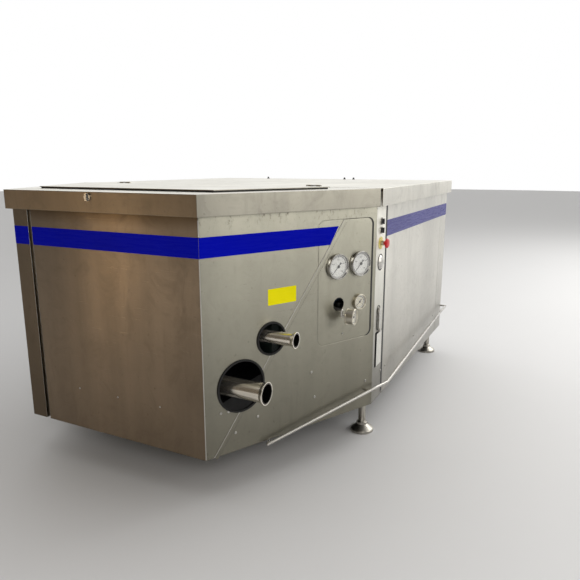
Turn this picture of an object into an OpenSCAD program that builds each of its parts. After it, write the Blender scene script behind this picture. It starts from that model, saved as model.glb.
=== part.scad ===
// Dairy homogenizer: stainless cabinet with a tapering nose, two lids, gauges and product pipes, and the
// plunger pump, crankcase and belt drive inside. Millimetres, +Z up, the nose points to -Y.
// Heights are from the floor; lengths marked "from the front" are from the front panel's face.

/* [Cabinet] */
// Width of the front panel's face, corner to corner
front_w = 940; // [900:5:980]
// Width over the side panels
body_w = 1725; // [1700:5:1780]
// Length of the tapering nose
nose_l = 785; // [770:5:800]
// Length over the front and rear panels
case_l = 2285; // [2260:5:2340]
// Sheet thickness of the panels
sheet = 2.5; // [2:0.1:3]
// Height of the panels' bottom edge
panel_z = 177; // [165:1:190]
// From the case's top down to the panels' top edge
panel_drop = 15; // [12:1:20]
// Width of the panels' bottom flange
flange_w = 40; // [35:1:45]
// Depth of the folds along the panels' upright edges
fold_d = 18; // [12:1:20]
// Width of the control column behind the nose
column_w = 133; // [128:1:140]
// Gap between the control column and the side panel behind it
column_seam = 16; // [10:1:18]
// Length of the rear panel's wrapped side flanges
rear_wrap = 165; // [150:1:180]
// Gap between neighbouring side panels
seam = 4; // [3:0.5:5]
// Width of the left nose panel's front flange
left_flange = 83; // [75:1:90]
// Gap between that flange and the front panel
front_gap = 22; // [18:1:26]
// Depth of that gap's joggled tongue behind the front face
joggle_d = 16; // [12:1:20]

/* [Lids] */
// Height over the lids
case_h = 1180; // [1178:1:1186]
// Height of a lid's rim
lid_rim = 78; // [70:1:84]
// Overhang of the lids outside the panels
lid_over = 23; // [20:1:28]
// Sheet thickness of the lids
lid_t = 3; // [2.5:0.1:3.5]
// Rear edge of the front lid, from the front
front_lid_y = 770; // [766:1:771]
// Gap between the two lids
lid_gap = 16; // [16:1:20]
// Front edge of the raised hatch, from the front
hatch_y = 130; // [120:1:150]
// Inset of the hatch's sides from the nose panels
hatch_in = 75; // [65:1:95]
// Length of the hatch
hatch_l = 500; // [450:5:520]
// Height of the hatch's rubber seal
hatch_seal_h = 6; // [4:0.5:8]
// Width of a rubber lid seal
seal_w = 10; // [8:0.5:12]
// Place of the front latch along the front lid's rim
latch_x = -15; // [-40:1:40]
// Place of the rear latch along the rear lid's rear rim, right of the middle
rear_latch_x = 600; // [450:5:750]
// Diameter of a latch knob
latch_d = 30; // [26:1:34]

/* [Hinges] */
// Radius of the hinge knuckles
knuckle_r = 7; // [6:0.5:7.5]
// Radius of the hinge pins
hinge_pin_r = 3.5; // [3:0.1:4]
// Length of one knuckle
knuckle_l = 24; // [20:1:30]
// Place of the front lid's hinges left and right of the middle
hinge_x = 560; // [500:5:640]
// Thickness of the hinge leaves
leaf_t = 3; // [2.5:0.1:4]
// Length of a leaf along its lid
leaf_l = 55; // [45:1:65]

/* [Blue band] */
// From the case's top down to the band
band_drop = 150; // [140:1:160]
// Height of the band
band_h = 75; // [70:1:80]
// Thickness of the band's foil
band_t = 0.5; // [0.4:0.1:0.8]
// Reach of the band's lower edge onto the gauge plate
band_over = 62; // [45:1:75]
// Slant of that end over the band's height
band_slant = 46; // [30:1:50]

/* [Product pipes] */
// Outer diameter of the inlet tube
inlet_d = 76; // [70:1:80]
// Wall of the inlet tube
inlet_wall = 2; // [1.5:0.1:2.5]
// Distance of the inlet's axis from the front
inlet_y = 139; // [135:1:145]
// Height of the inlet's axis
inlet_z = 434; // [428:1:440]
// Reach of the inlet's mouth out of the nose panel, along the pipe
inlet_out = 120.5; // [100:0.5:150]
// Bend radius of the inlet tube
inlet_bend = 114; // [100:1:120]
// Outer diameter of the outlet tube
outlet_d = 51; // [48:1:54]
// Wall of the outlet tube
outlet_wall = 1.5; // [1.2:0.1:2]
// Distance of the outlet's axis from the front
outlet_y = 269; // [262:1:276]
// Height of the outlet's axis
outlet_z = 616; // [608:1:624]
// Reach of the outlet's mouth out of the nose panel, along the pipe
outlet_out = 115.5; // [95:0.5:135]
// Width that a clamp ferrule stands out beyond its tube
ferrule_rim = 7; // [6:0.5:8]
// Thickness of a clamp ferrule's rim
ferrule_t = 6.4; // [5:0.1:8]
// Diameter of the inlet's hole in the nose panel
inlet_hole = 206; // [190:1:212]
// Diameter of the outlet's hole in the nose panel
outlet_hole = 130; // [124:1:136]
// Rise of the inlet's hole above the pipe's axis
inlet_hole_up = 8; // [0:1:12]
// Set-back of the inlet's hole behind the pipe's axis
inlet_hole_back = 8; // [0:1:12]
// Drop of the outlet's hole below the pipe's axis
outlet_hole_down = 9; // [0:1:12]
// Set-back of the outlet's hole behind the pipe's axis
outlet_hole_back = 6; // [0:1:10]
// Width of the rubber edge trim
trim_w = 4; // [3:0.5:5]

/* [Gauges] */
// From the gauge plate's rear edge to the fold behind it
plate_back = 27.7; // [24:0.1:36]
// Width of the gauge plate
plate_w = 305; // [300:1:310]
// From the case's top down to the gauge plate
plate_drop = 124; // [114:1:134]
// Height of the gauge plate
plate_h = 531; // [520:1:540]
// Corner radius of the gauge plate
plate_r = 30; // [25:1:40]
// Gap round the gauge plate
plate_gap = 1.2; // [1:0.1:2]
// Play of the gauge plate at its rear edge
plate_play = 5; // [3:0.5:6]
// Bezel diameter of the large gauges
gauge_d = 110; // [104:1:114]
// Bezel diameter of the small gauges
gauge_s = 70; // [64:1:74]
// Height of the large gauges on the plate
gauge_depth = 16; // [15:1:20]
// Height of the small gauge on the plate
gauge_3_depth = 13; // [13:1:18]
// Depth of the hanging gauge
gauge_4_depth = 36; // [32:1:38]
// From the plate's top edge down to the large gauges' axes
gauge_drop = 196; // [190:1:200]
// From the plate's front edge to the first large gauge's axis
gauge_1_in = 103; // [98:1:108]
// From the plate's front edge to the second large gauge's axis
gauge_2_in = 233; // [228:1:238]
// From the plate's front edge to the small gauge's axis
gauge_3_in = 235; // [230:1:240]
// From the plate's lower edge up to the small gauge's axis
gauge_3_up = 164; // [158:1:170]
// From the plate's front edge to the empty instrument hole
port_in = 115; // [110:1:120]
// From the plate's lower edge up to the empty instrument hole
port_up = 168; // [163:1:173]
// Diameter of the empty instrument hole
port_d = 60; // [56:1:64]
// Radius of the tube that carries the hanging gauge
tube_r = 7; // [6:0.5:8]
// Drop of the hanging gauge below its tube
tube_drop = 22; // [20:1:30]

/* [Control column] */
// From the case's top down to the upper selector
switch_1_drop = 148; // [140:1:150]
// From the case's top down to the lower selector
switch_2_drop = 188; // [186:1:192]
// From the case's top down to the emergency stop
estop_drop = 246; // [242:1:252]
// Head diameter of the emergency stop
estop_d = 44; // [42:1:48]
// Travel of the emergency stop
estop_travel = 6; // [4:0.5:7]
// From the case's top down to the round domed cap
cap_drop = 335; // [325:1:345]
// Diameter of the round domed cap
cap_d = 70; // [64:1:74]
// Height of the paddle latch's pivot
paddle_z = 616; // [612:1:622]
// Length of the paddle below its pivot
paddle_l = 100; // [90:1:104]
// Lower edge of the slot
slot_z = 345; // [340:1:350]
// Height of the slot
slot_h = 172; // [165:1:178]
// Width of the slot
slot_w = 98; // [94:1:102]
// Depth of the slot's recess
slot_d = 36; // [30:1:42]
// From the slot to the column's rear edge
slot_back = 8; // [8:0.5:10]
// Width of the light bar in the slot
slot_bar_w = 72; // [66:1:74]
// Height of the light bar
slot_bar_h = 160; // [150:1:163]

/* [Kick rail] */
// Radius of the bright round bar
rail_r = 7; // [6:0.5:8]

/* [Base and feet] */
// Height of the base tubes
base_h = 110; // [100:1:120]
// Width of the base tubes
base_w = 90; // [80:1:100]
// Wall of the base tubes
base_t = 6; // [5:0.5:8]
// Place of the long base tubes left and right of the middle
base_x = 330; // [320:1:345]
// Width of the upper frame's tubes
post_w = 40; // [36:1:44]
// Wall of the upper frame's tubes
post_t = 3; // [2.5:0.1:4]
// From the case's sides in to the feet
foot_in = 68.5; // [62.5:0.5:82.5]
// From the fold back to the front feet
foot_front = 74; // [65:1:85]
// From the case's rear to the rear feet
foot_back = 66; // [60:1:85]
// Diameter of a foot's pad
pad_d = 116; // [106:1:120]
// Diameter of a foot's spindle
spindle_d = 36; // [32:1:38]
// Thickness of the lock nut under the frame
nut_t = 16; // [14:1:20]

/* [Pump] */
// Front of the pump block, from the front
pump_y = 360; // [355:1:370]
// Length of the pump block
pump_l = 220; // [210:1:230]
// Width of the pump block
pump_w = 540; // [530:1:560]
// Height of the pump block
pump_h = 380; // [370:1:385]
// Height of the pump block's underside
pump_z = 380; // [375:1:385]
// Height of the plungers' axes
plunger_z = 600; // [590:1:610]
// Distance between plungers
plunger_gap = 120; // [115:1:128]
// Radius of a plunger
plunger_r = 25; // [22:0.5:28]
// Stroke of a plunger
stroke = 60; // [50:1:70]
// Running clearance of shafts and plungers
run_gap = 0.05; // [0.03:0.01:0.08]
// Clearance between pieces that move past each other
move_gap = 0.3; // [0.3:0.05:0.6]

/* [Drive] */
// Front of the crankcase, from the front
crank_y = 790; // [785:1:800]
// Length of the crankcase
crank_l = 540; // [520:1:550]
// Width of the crankcase
crank_w = 660; // [640:1:680]
// Height of the crankcase over its feet
crank_h = 570; // [560:1:590]
// Drive shaft behind the crankcase's front
shaft_dy = 275; // [265:1:285]
// Height of the drive shaft
shaft_z = 610; // [600:1:620]
// Radius of the drive shaft
shaft_r = 35; // [32:0.5:38]
// Rim radius of the large pulley
pulley_r = 270; // [262:1:276]
// Rim radius of the motor pulley
motor_pulley_r = 100; // [95:1:106]
// Distance between belts
belt_pitch = 20; // [19:0.5:22]
// Number of belts
belt_count = 5; // [4:1:5]
// Width of a belt
belt_w = 10; // [9:0.5:11]
// Depth of the belt grooves
groove_d = 14; // [13:0.5:15]
// Inner face of the pulleys, left of the middle
pulley_x = 390; // [385:1:400]
// From the case's rear to the motor's axis
motor_back = 435; // [415:5:455]
// Height of the motor's axis over the base tubes
motor_rise = 225; // [220:1:232]
// Radius of the motor's core
motor_r = 165; // [160:1:168]
// Height of the motor's fins
fin_h = 16; // [12:1:18]
// Length of the motor's finned body
motor_l = 520; // [500:5:540]
// Radius of the motor shaft
motor_shaft_r = 30; // [27:0.5:32]

/* [Hidden] */
$fn = 48;

taper = atan2((body_w - front_w) / 2, nose_l);
nose_len = norm([(body_w - front_w) / 2, nose_l]);
panel_top = case_h - panel_drop;
band_z = case_h - band_drop - band_h;
plate_t = nose_len - plate_back - plate_w;
plate_z = case_h - plate_drop - plate_h;
gauge_z = plate_z + plate_h - gauge_drop;
gauge_1_t = plate_t + gauge_1_in;
gauge_2_t = plate_t + gauge_2_in;
gauge_3_t = plate_t + gauge_3_in;
gauge_3_z = plate_z + gauge_3_up;
port_t = plate_t + port_in;
port_z = plate_z + port_up;
band_end = plate_t + band_over;
inlet_x = front_w / 2 + inlet_y * tan(taper) + inlet_out;
outlet_x = front_w / 2 + outlet_y * tan(taper) + outlet_out;
switch_1_z = case_h - switch_1_drop;
switch_2_z = case_h - switch_2_drop;
estop_z = case_h - estop_drop;
cap_z = case_h - cap_drop;
foot_x = body_w / 2 - foot_in;
foot_y1 = nose_l + foot_front;
foot_y2 = case_l - foot_back;
motor_y = case_l - motor_back;
motor_seat = 460;
lid_under = case_h - lid_t;
rear_lid_y = front_lid_y + lid_gap;
base_z = panel_z + sheet;
base_top = base_z + base_h;
column_y = nose_l + column_w / 2 - 3.5;
column_end = nose_l + column_w;
side_y0 = column_end + column_seam;
slot_y = column_end - slot_back - slot_w;
side_y1 = case_l - rear_wrap - seam;
panel_left = front_w / 2 - left_flange - front_gap;
front_bar_w = 60;
mid_cross_y = crank_y + crank_l + 70;
post_y1 = foot_y1 + 10;
post_y2 = foot_y2 - 10;
top_rail_z = panel_top - 55;
top_rail_h = 40;
post_in = 50;
post_x = body_w / 2 - sheet - post_in - post_w;
hinge_y = front_lid_y + lid_gap / 2;
hinge_z = case_h + 4;
side_hinge_x = body_w / 2 + lid_over + knuckle_r + 1;
side_hinge_z = case_h - lid_rim - 2;
side_hinge_ys = [column_end + 65, (column_end + case_l) / 2 - 60, case_l - 185];
steel_plate = 20;
crank_z = base_top;
shaft_y = crank_y + shaft_dy;
motor_z = base_top + motor_rise;
pulley_w = belt_count * belt_pitch + 10;
pump_rear = pump_y + pump_l;
gland_l = 40;
head_x = 175;
head_w = 160;
head_y = 215;
head_z = 530;
head_h = 180;
port_step = 4;

// Offsets of the cabinet's plan outline: d outside the panels' faces, right half, front to rear
function nose_x(d) = front_w / 2 + d * tan(45 - taper / 2);
function fold_y(d) = nose_l - d * tan(taper / 2);
function nose_x_at(y, d) = nose_x(d) + (y + d) * tan(taper);
function right_edge(d) = [[nose_x(d), -d], [body_w / 2 + d, fold_y(d)], [body_w / 2 + d, case_l + d]];
function mirrored(pts) = [for (i = [len(pts) - 1 : -1 : 0]) [-pts[i][0], pts[i][1]]];
function case_outline(d) = concat(right_edge(d), mirrored(right_edge(d)));
function nose_outline(d, y) = [[nose_x(d), -d], [nose_x_at(y, d), y], [-nose_x_at(y, d), y],
  [-nose_x(d), -d]];
function lerp(a, b, s) = a + (b - a) * s;

// Kick rail's points, from the front
rail_pts = [[nose_x_at(290, 0) - 30, 290, 160], [nose_x_at(230, 0) + 27, 230, 172],
  [nose_x_at(nose_l - 15, 0) + 31, nose_l - 15, 268], [body_w / 2 + 47, nose_l + 95, 262],
  [body_w / 2 + 30.5, case_l + 15, 318]];
rail_tail = [body_w / 2 - 25, case_l + 15, 318];

module from_front() {
  translate([0, -case_l / 2, 0]) children();
}
// Local frame on the right nose panel: +X out of the panel, +Y along it from the front corner
module on_nose(t, z) {
  from_front() translate([front_w / 2, 0, 0]) rotate([0, 0, -taper]) translate([0, t, z]) children();
}
module on_column(y, z) {
  from_front() translate([body_w / 2, y, z]) children();
}
module out_x() {
  rotate([0, 90, 0]) children();
}
module both_sides() {
  children();
  mirror([1, 0, 0]) children();
}
module upright(pts, z0, z1) {
  translate([0, 0, z0]) linear_extrude(height = z1 - z0) polygon(pts);
}
module wall(pts) {
  upright(pts, panel_z, panel_top);
}
module bottom_flange(pts) {
  upright(pts, panel_z, panel_z + sheet);
}
module bar_x(x0, x1, y0, y1, z0, z1, t) {
  difference() {
    translate([x0, y0, z0]) cube([x1 - x0, y1 - y0, z1 - z0]);
    translate([x0 - 1, y0 + t, z0 + t]) cube([x1 - x0 + 2, y1 - y0 - 2 * t, z1 - z0 - 2 * t]);
  }
}
module bar_y(x0, x1, y0, y1, z0, z1, t) {
  difference() {
    translate([x0, y0, z0]) cube([x1 - x0, y1 - y0, z1 - z0]);
    translate([x0 + t, y0 - 1, z0 + t]) cube([x1 - x0 - 2 * t, y1 - y0 + 2, z1 - z0 - 2 * t]);
  }
}
module bar_z(x0, x1, y0, y1, z0, z1, t) {
  difference() {
    translate([x0, y0, z0]) cube([x1 - x0, y1 - y0, z1 - z0]);
    translate([x0 + t, y0 + t, z0 - 1]) cube([x1 - x0 - 2 * t, y1 - y0 - 2 * t, z1 - z0 + 2]);
  }
}
module ring(ro, ri, h) {
  difference() {
    cylinder(r = ro, h = h);
    translate([0, 0, -1]) cylinder(r = ri, h = h + 2);
  }
}
module round_plate(w, h, r) {
  translate([r, 0]) square([w - 2 * r, h]);
  translate([0, r]) square([w, h - 2 * r]);
  for (p = [[r, r], [w - r, r], [r, h - r], [w - r, h - r]]) translate(p) circle(r = r);
}

// Base

module cross_member(y) {
  inner = base_x - base_w / 2;
  outer = base_x + base_w / 2;
  bar_x(-inner, inner, y - base_w / 2, y + base_w / 2, base_z, base_top, base_t);
  both_sides() bar_x(outer, body_w / 2 - sheet, y - base_w / 2, y + base_w / 2, base_z, base_top, base_t);
}
module foot_places(ys) {
  for (y = ys) both_sides() translate([foot_x, y, 0]) children();
}
module base_frame() {
  color("dimgray") from_front() difference() {
    union() {
      both_sides() bar_y(base_x - base_w / 2, base_x + base_w / 2, sheet + front_bar_w, case_l - sheet,
        base_z, base_top, base_t);
      bar_x(-panel_left, nose_x(-flange_w) - 5, sheet, sheet + front_bar_w, base_z, base_top, base_t);
      cross_member(foot_y1);
      cross_member(mid_cross_y);
      cross_member(foot_y2);
      foot_places([foot_y1, foot_y2]) translate([0, 0, base_z - nut_t])
        cylinder(r = spindle_d / 2 + 9, h = nut_t, $fn = 6);
    }
    foot_places([foot_y1, foot_y2]) translate([0, 0, base_z - nut_t - 1])
      cylinder(r = spindle_d / 2 + run_gap, h = nut_t + base_h + 2);
  }
}
module upper_frame() {
  color("gray") from_front() {
    both_sides() {
      bar_y(post_x, post_x + post_w, front_lid_y, case_l - sheet - rear_wrap / 4, top_rail_z,
        top_rail_z + top_rail_h, post_t);
      for (y = [post_y1, post_y2])
        bar_z(post_x, post_x + post_w, y - post_w / 2, y + post_w / 2, base_top, top_rail_z, post_t);
    }
    for (x = [-panel_left, nose_x(-flange_w) - 5 - post_w])
      bar_z(x, x + post_w, sheet, sheet + post_w, base_top, top_rail_z, post_t);
    bar_x(-panel_left, nose_x(-flange_w) - 5, sheet, sheet + post_w, top_rail_z,
      top_rail_z + top_rail_h, post_t);
    bar_x(-post_x, post_x, hinge_y - post_w / 2 + 20, hinge_y + post_w / 2 + 20, top_rail_z,
      top_rail_z + top_rail_h, post_t);
    bar_x(-post_x, post_x, post_y2 - post_w / 2, post_y2 + post_w / 2, top_rail_z, top_rail_z + top_rail_h,
      post_t);
  }
}
module foot(x, y) {
  spindle_top = base_z + base_h / 2;
  from_front() translate([x, y, 0]) rotate_extrude()
    polygon([[0, 0], [pad_d / 2, 0], [pad_d / 2, 10], [pad_d / 2 - 3, 14], [spindle_d / 2 + 8, 34],
      [spindle_d / 2 + 8, 44], [spindle_d / 2, 50], [spindle_d / 2, spindle_top - 3],
      [spindle_d / 2 - 3, spindle_top], [0, spindle_top]]);
}
module foot_front_right() {
  color("silver") foot(foot_x, foot_y1);
}
module foot_front_left() {
  color("silver") foot(-foot_x, foot_y1);
}
module foot_rear_right() {
  color("silver") foot(foot_x, foot_y2);
}
module foot_rear_left() {
  color("silver") foot(-foot_x, foot_y2);
}

// Cabinet panels

module front_panel() {
  color("lightgray") from_front() {
    wall([[-panel_left, 0], [front_w / 2, 0], [nose_x(-sheet), sheet], [-panel_left, sheet]]);
    translate([-panel_left, 0, panel_z]) cube([panel_left + nose_x(-flange_w), flange_w, sheet]);
    translate([-panel_left, 0, panel_z]) cube([sheet, fold_d, base_z - panel_z]);
  }
}
module nose_wall() {
  o = right_edge(0);
  i = right_edge(-sheet);
  f = right_edge(-flange_w);
  wall([o[0], o[1], i[1], i[0]]);
  bottom_flange([o[0], o[1], f[1], f[0]]);
}
module plate_cut(grow, play) {
  translate([plate_t - grow, plate_z - grow])
    round_plate(plate_w + 2 * grow + play, plate_h + 2 * grow, plate_r + grow);
}
module through_nose(d0, d1) {
  on_nose(0, 0) translate([d0, 0, 0]) rotate([90, 0, 90]) linear_extrude(height = d1 - d0) children();
}
inlet_hole_at = [inlet_y / cos(taper) + inlet_hole_back, inlet_z + inlet_hole_up];
outlet_hole_at = [outlet_y / cos(taper) + outlet_hole_back, outlet_z - outlet_hole_down];
module right_nose_panel() {
  color("lightgray") difference() {
    from_front() nose_wall();
    through_nose(-10, 10) translate(inlet_hole_at) circle(d = inlet_hole);
    through_nose(-10, 10) translate(outlet_hole_at) circle(d = outlet_hole);
    through_nose(-10, 10) plate_cut(plate_gap, plate_play);
  }
}
module gauge_plate() {
  rim = 16;
  color("silver") difference() {
    union() {
      through_nose(-sheet, 0) plate_cut(0, 0);
      through_nose(-2 * sheet, -sheet) plate_cut(rim, 0);
    }
    through_nose(-10, 10) translate([port_t, port_z]) circle(d = port_d);
  }
}
module left_nose_panel() {
  o = right_edge(0);
  i = right_edge(-sheet);
  f = right_edge(-flange_w);
  e = front_w / 2 - left_flange;
  color("lightgray") from_front() mirror([1, 0, 0]) {
    wall([[e, 0], o[0], o[1], [body_w / 2, column_end], [body_w / 2 - sheet, column_end], i[1], i[0],
      [e + sheet, sheet], [e + sheet, joggle_d + sheet], [panel_left + sheet, joggle_d + sheet],
      [panel_left + sheet, joggle_d], [e, joggle_d]]);
    bottom_flange([[e, 0], o[0], o[1], [body_w / 2, column_end], [body_w / 2 - flange_w, column_end], f[1],
      f[0], [e, flange_w]]);
  }
}
module control_column() {
  i = right_edge(-sheet);
  f = right_edge(-flange_w);
  color("lightgray") difference() {
    from_front() {
      wall([[body_w / 2, nose_l], [body_w / 2, column_end], [body_w / 2 - fold_d, column_end],
        [body_w / 2 - fold_d, column_end - sheet], [body_w / 2 - sheet, column_end - sheet], i[1]]);
      bottom_flange([[body_w / 2, nose_l], [body_w / 2, column_end], [body_w / 2 - flange_w, column_end],
        f[1]]);
    }
    for (z = [switch_1_z, switch_2_z, estop_z])
      on_column(column_y, z) translate([-10, 0, 0]) out_x() cylinder(r = estop_body_r, h = 20);
    on_column(column_y, paddle_z) translate([-10, 0, 0]) out_x() cylinder(r = 6 + run_gap, h = 20);
    on_column(slot_y, slot_z) translate([-10, 0, 0]) cube([20, slot_w, slot_h]);
  }
}
module side_panel() {
  x1 = body_w / 2;
  from_front() {
    difference() {
      translate([x1 - fold_d, side_y0, panel_z]) cube([fold_d, side_y1 - side_y0, panel_top - panel_z]);
      translate([x1 - fold_d - 1, side_y0 + sheet, panel_z + sheet])
        cube([fold_d + 1 - sheet, side_y1 - side_y0 - 2 * sheet, panel_top - panel_z]);
    }
    translate([x1 - flange_w, side_y0, panel_z]) cube([flange_w, side_y1 - side_y0, sheet]);
  }
}
module right_side_panel() {
  color("gainsboro") side_panel();
}
module left_side_panel() {
  color("gainsboro") mirror([1, 0, 0]) side_panel();
}
louvre_n = 9;
louvre_pitch = 44;
louvre_w = 360;
louvre_z = 420;
module rear_panel() {
  o = [[body_w / 2, case_l - rear_wrap], [body_w / 2, case_l], [-body_w / 2, case_l],
    [-body_w / 2, case_l - rear_wrap]];
  i = [[-body_w / 2 + sheet, case_l - rear_wrap], [-body_w / 2 + sheet, case_l - sheet],
    [body_w / 2 - sheet, case_l - sheet], [body_w / 2 - sheet, case_l - rear_wrap]];
  j = [[-body_w / 2 + flange_w, case_l - rear_wrap], [-body_w / 2 + flange_w, case_l - flange_w],
    [body_w / 2 - flange_w, case_l - flange_w], [body_w / 2 - flange_w, case_l - rear_wrap]];
  color("lightgray") from_front() {
    difference() {
      wall(concat(o, i));
      for (s = [-1, 1], k = [0 : louvre_n - 1])
        translate([s * louvre_w * 0.75 - louvre_w / 2, case_l - 10, louvre_z + k * louvre_pitch])
          cube([louvre_w, 20, 16]);
    }
    bottom_flange(concat(o, j));
    for (s = [-1, 1], k = [0 : louvre_n - 1])
      translate([s * louvre_w * 0.75 - louvre_w / 2, case_l, louvre_z + k * louvre_pitch + 16])
        rotate([90, 0, 90]) linear_extrude(height = louvre_w)
          polygon([[-sheet, 0], [0, 0], [10, -14], [10, -16], [8, -16], [-sheet, -2]]);
  }
}
module lid_seals() {
  color("black") from_front() translate([0, 0, panel_top])
    linear_extrude(height = lid_under - move_gap - panel_top) difference() {
      polygon(case_outline(seal_w / 2 - sheet));
      polygon(case_outline(-seal_w / 2 - sheet));
    }
}
module blue_band() {
  o = right_edge(0);
  b = right_edge(band_t);
  x1 = body_w / 2;
  z1 = band_z + band_h;
  color("mediumblue") {
    from_front() {
      translate([-panel_left, -band_t, band_z]) cube([panel_left + front_w / 2 - band_t, band_t, band_h]);
      upright([[-front_w / 2 + left_flange, -band_t], [-front_w / 2 + left_flange, 0], [-front_w / 2, 0],
        [-nose_x(band_t), -band_t]], band_z, z1);
      mirror([1, 0, 0])
        upright([o[0], b[0], b[1], [x1 + band_t, column_end], [x1, column_end], o[1]], band_z, z1);
      both_sides() translate([x1, side_y0, band_z]) cube([band_t, side_y1 - side_y0, band_h]);
      both_sides() translate([x1, case_l - rear_wrap, band_z]) cube([band_t, rear_wrap, band_h]);
    }
    intersection() {
      from_front() upright([o[0], b[0], b[1], o[1]], band_z, z1);
      through_nose(-1, 1)
        polygon([[band_t, band_z], [band_end, band_z], [band_end + band_slant, z1], [band_t, z1]]);
    }
  }
}

// Kick rail

ball = 1.03;
module rod(a, b, r) {
  d = b - a;
  translate(a) rotate([0, acos(d[2] / norm(d)), atan2(d[1], d[0])]) cylinder(r = r, h = norm(d));
}
module nose_stud(p) {
  n = [cos(taper), -sin(taper), 0];
  g = (p - [front_w / 2, 0, 0]) * n;
  rod(p - g * n, p, rail_r * 0.8);
}
module kick_rail() {
  color("white") from_front() {
    for (i = [0 : len(rail_pts) - 2]) rod(rail_pts[i], rail_pts[i + 1], rail_r);
    for (p = rail_pts) translate(p) sphere(r = rail_r * ball);
    rod(rail_pts[0], [rail_pts[0][0], rail_pts[0][1], panel_z], rail_r * 0.8);
    nose_stud(lerp(rail_pts[1], rail_pts[2], 0.93));
    rod(rail_pts[4], rail_tail, rail_r * 0.8);
    translate(rail_tail) sphere(r = rail_r * 0.8 * ball);
    rod([rail_tail[0], case_l, rail_tail[2]], rail_tail, rail_r * 0.8);
  }
}

// Product pipes

module ferrule(r) {
  rotate_extrude() polygon([[r - 0.5, -16], [r + 1, -16], [r + ferrule_rim, -ferrule_t / 2],
    [r + ferrule_rim, 0], [r - 0.5, 0]]);
}
module inlet_pipe() {
  r = inlet_d / 2;
  ri = r - inlet_wall;
  turn_x = inlet_bend;
  color("silver") from_front() translate([0, inlet_y, inlet_z]) difference() {
    union() {
      translate([turn_x, 0, 0]) out_x() cylinder(r = r, h = inlet_x - turn_x);
      translate([inlet_x, 0, 0]) out_x() ferrule(r);
      translate([turn_x, inlet_bend, 0]) rotate([0, 0, 180]) rotate_extrude(angle = 90)
        translate([inlet_bend, 0]) circle(r = r);
      translate([0, inlet_bend, 0]) rotate([-90, 0, 0]) cylinder(r = r, h = pump_y - inlet_y - inlet_bend);
      translate([0, pump_y - inlet_y - 18, 0]) rotate([-90, 0, 0]) cylinder(r = r + 22, h = 18);
    }
    translate([turn_x, 0, 0]) out_x() cylinder(r = ri, h = inlet_x - turn_x + 1);
    translate([turn_x, inlet_bend, 0]) rotate([0, 0, 180]) rotate_extrude(angle = 90)
      translate([inlet_bend, 0]) circle(r = ri);
    translate([0, inlet_bend, 0]) rotate([-90, 0, 0]) cylinder(r = ri, h = pump_y - inlet_y - inlet_bend + 1);
  }
}
module outlet_pipe() {
  r = outlet_d / 2;
  x0 = head_x + head_w;
  color("silver") from_front() translate([0, outlet_y, outlet_z]) difference() {
    union() {
      translate([x0, 0, 0]) out_x() cylinder(r = r, h = outlet_x - x0);
      translate([x0, 0, 0]) out_x() cylinder(r = r + 14, h = 22, $fn = 6);
      translate([outlet_x, 0, 0]) out_x() ferrule(r);
    }
    translate([x0 - 1, 0, 0]) out_x() cylinder(r = r - outlet_wall, h = outlet_x - x0 + 2);
  }
}
module edge_trim(r) {
  rotate_extrude() difference() {
    translate([r - trim_w, -sheet - trim_w]) square([2 * trim_w, sheet + 2 * trim_w]);
    translate([r, -sheet]) square([2 * trim_w, sheet]);
  }
}
module hole_trims() {
  color("black") {
    on_nose(inlet_hole_at[0], inlet_hole_at[1]) out_x() edge_trim(inlet_hole / 2);
    on_nose(outlet_hole_at[0], outlet_hole_at[1]) out_x() edge_trim(outlet_hole / 2);
  }
}

// Gauges: each is drawn along +X from its back

dial_t = 2;
lens_t = 2.5;
lens_in = 2;
dial_in = 10.5;
module gauge_case(d, depth) {
  r = d / 2;
  out_x() difference() {
    union() {
      cylinder(r = r, h = 2.5);
      cylinder(r = r - 3, h = depth);
      translate([0, 0, depth - 8]) cylinder(r = r, h = 6);
      translate([0, 0, depth - 2]) cylinder(r1 = r, r2 = r - 1.5, h = 2);
    }
    translate([0, 0, depth - dial_in]) cylinder(r = r - 7, h = 20);
    translate([0, 0, depth - lens_in - lens_t]) cylinder(r = r - 4, h = 20);
  }
}
module gauge_dial(d, depth) {
  translate([depth - dial_in, 0, 0]) out_x() {
    cylinder(r = d / 2 - 7, h = dial_t);
    cylinder(r = 1.5, h = 5.5);
  }
}
module gauge_lens(d, depth) {
  translate([depth - lens_in - lens_t, 0, 0]) out_x() cylinder(r = d / 2 - 4, h = lens_t);
}
// The pointer rests at the zero mark, lower left on the dial
module gauge_pointer(d, depth) {
  len = d / 2 - 14;
  tail = d * 0.16;
  translate([depth - dial_in + dial_t + move_gap, 0, 0]) out_x() difference() {
    union() {
      cylinder(r = 4, h = 2.4);
      rotate([0, 0, -45]) linear_extrude(height = 1.2) {
        polygon([[-tail, -1.6], [len, -0.6], [len, 0.6], [-tail, 1.6]]);
        translate([-tail, 0]) circle(r = d * 0.04);
      }
    }
    translate([0, 0, -1]) cylinder(r = 1.5 + run_gap, h = 6);
  }
}
module at_gauge(k) {
  if (k == 1) on_nose(gauge_1_t, gauge_z) children();
  if (k == 2) on_nose(gauge_2_t, gauge_z) children();
  if (k == 3) on_nose(gauge_3_t, gauge_3_z) children();
  if (k == 4) on_nose(port_t, tube_z - tube_drop) translate([tube_out, 0, 0]) rotate([0, 0, taper])
    translate([tube_r + 18, 0, 0]) children();
}
tube_z = port_z - port_d / 2 + tube_r + move_gap;
tube_out = 22;
function size_of(k) = k < 3 ? gauge_d : gauge_s;
function depth_of(k) = k < 3 ? gauge_depth : (k == 3 ? gauge_3_depth : gauge_4_depth);
module gauge_cases() {
  color("silver") for (k = [1 : 4]) at_gauge(k) gauge_case(size_of(k), depth_of(k));
}
module gauge_dials() {
  color("white") for (k = [1 : 4]) at_gauge(k) gauge_dial(size_of(k), depth_of(k));
}
module gauge_lenses() {
  color("lightblue", 0.3) for (k = [1 : 4]) at_gauge(k) gauge_lens(size_of(k), depth_of(k));
}
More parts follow.
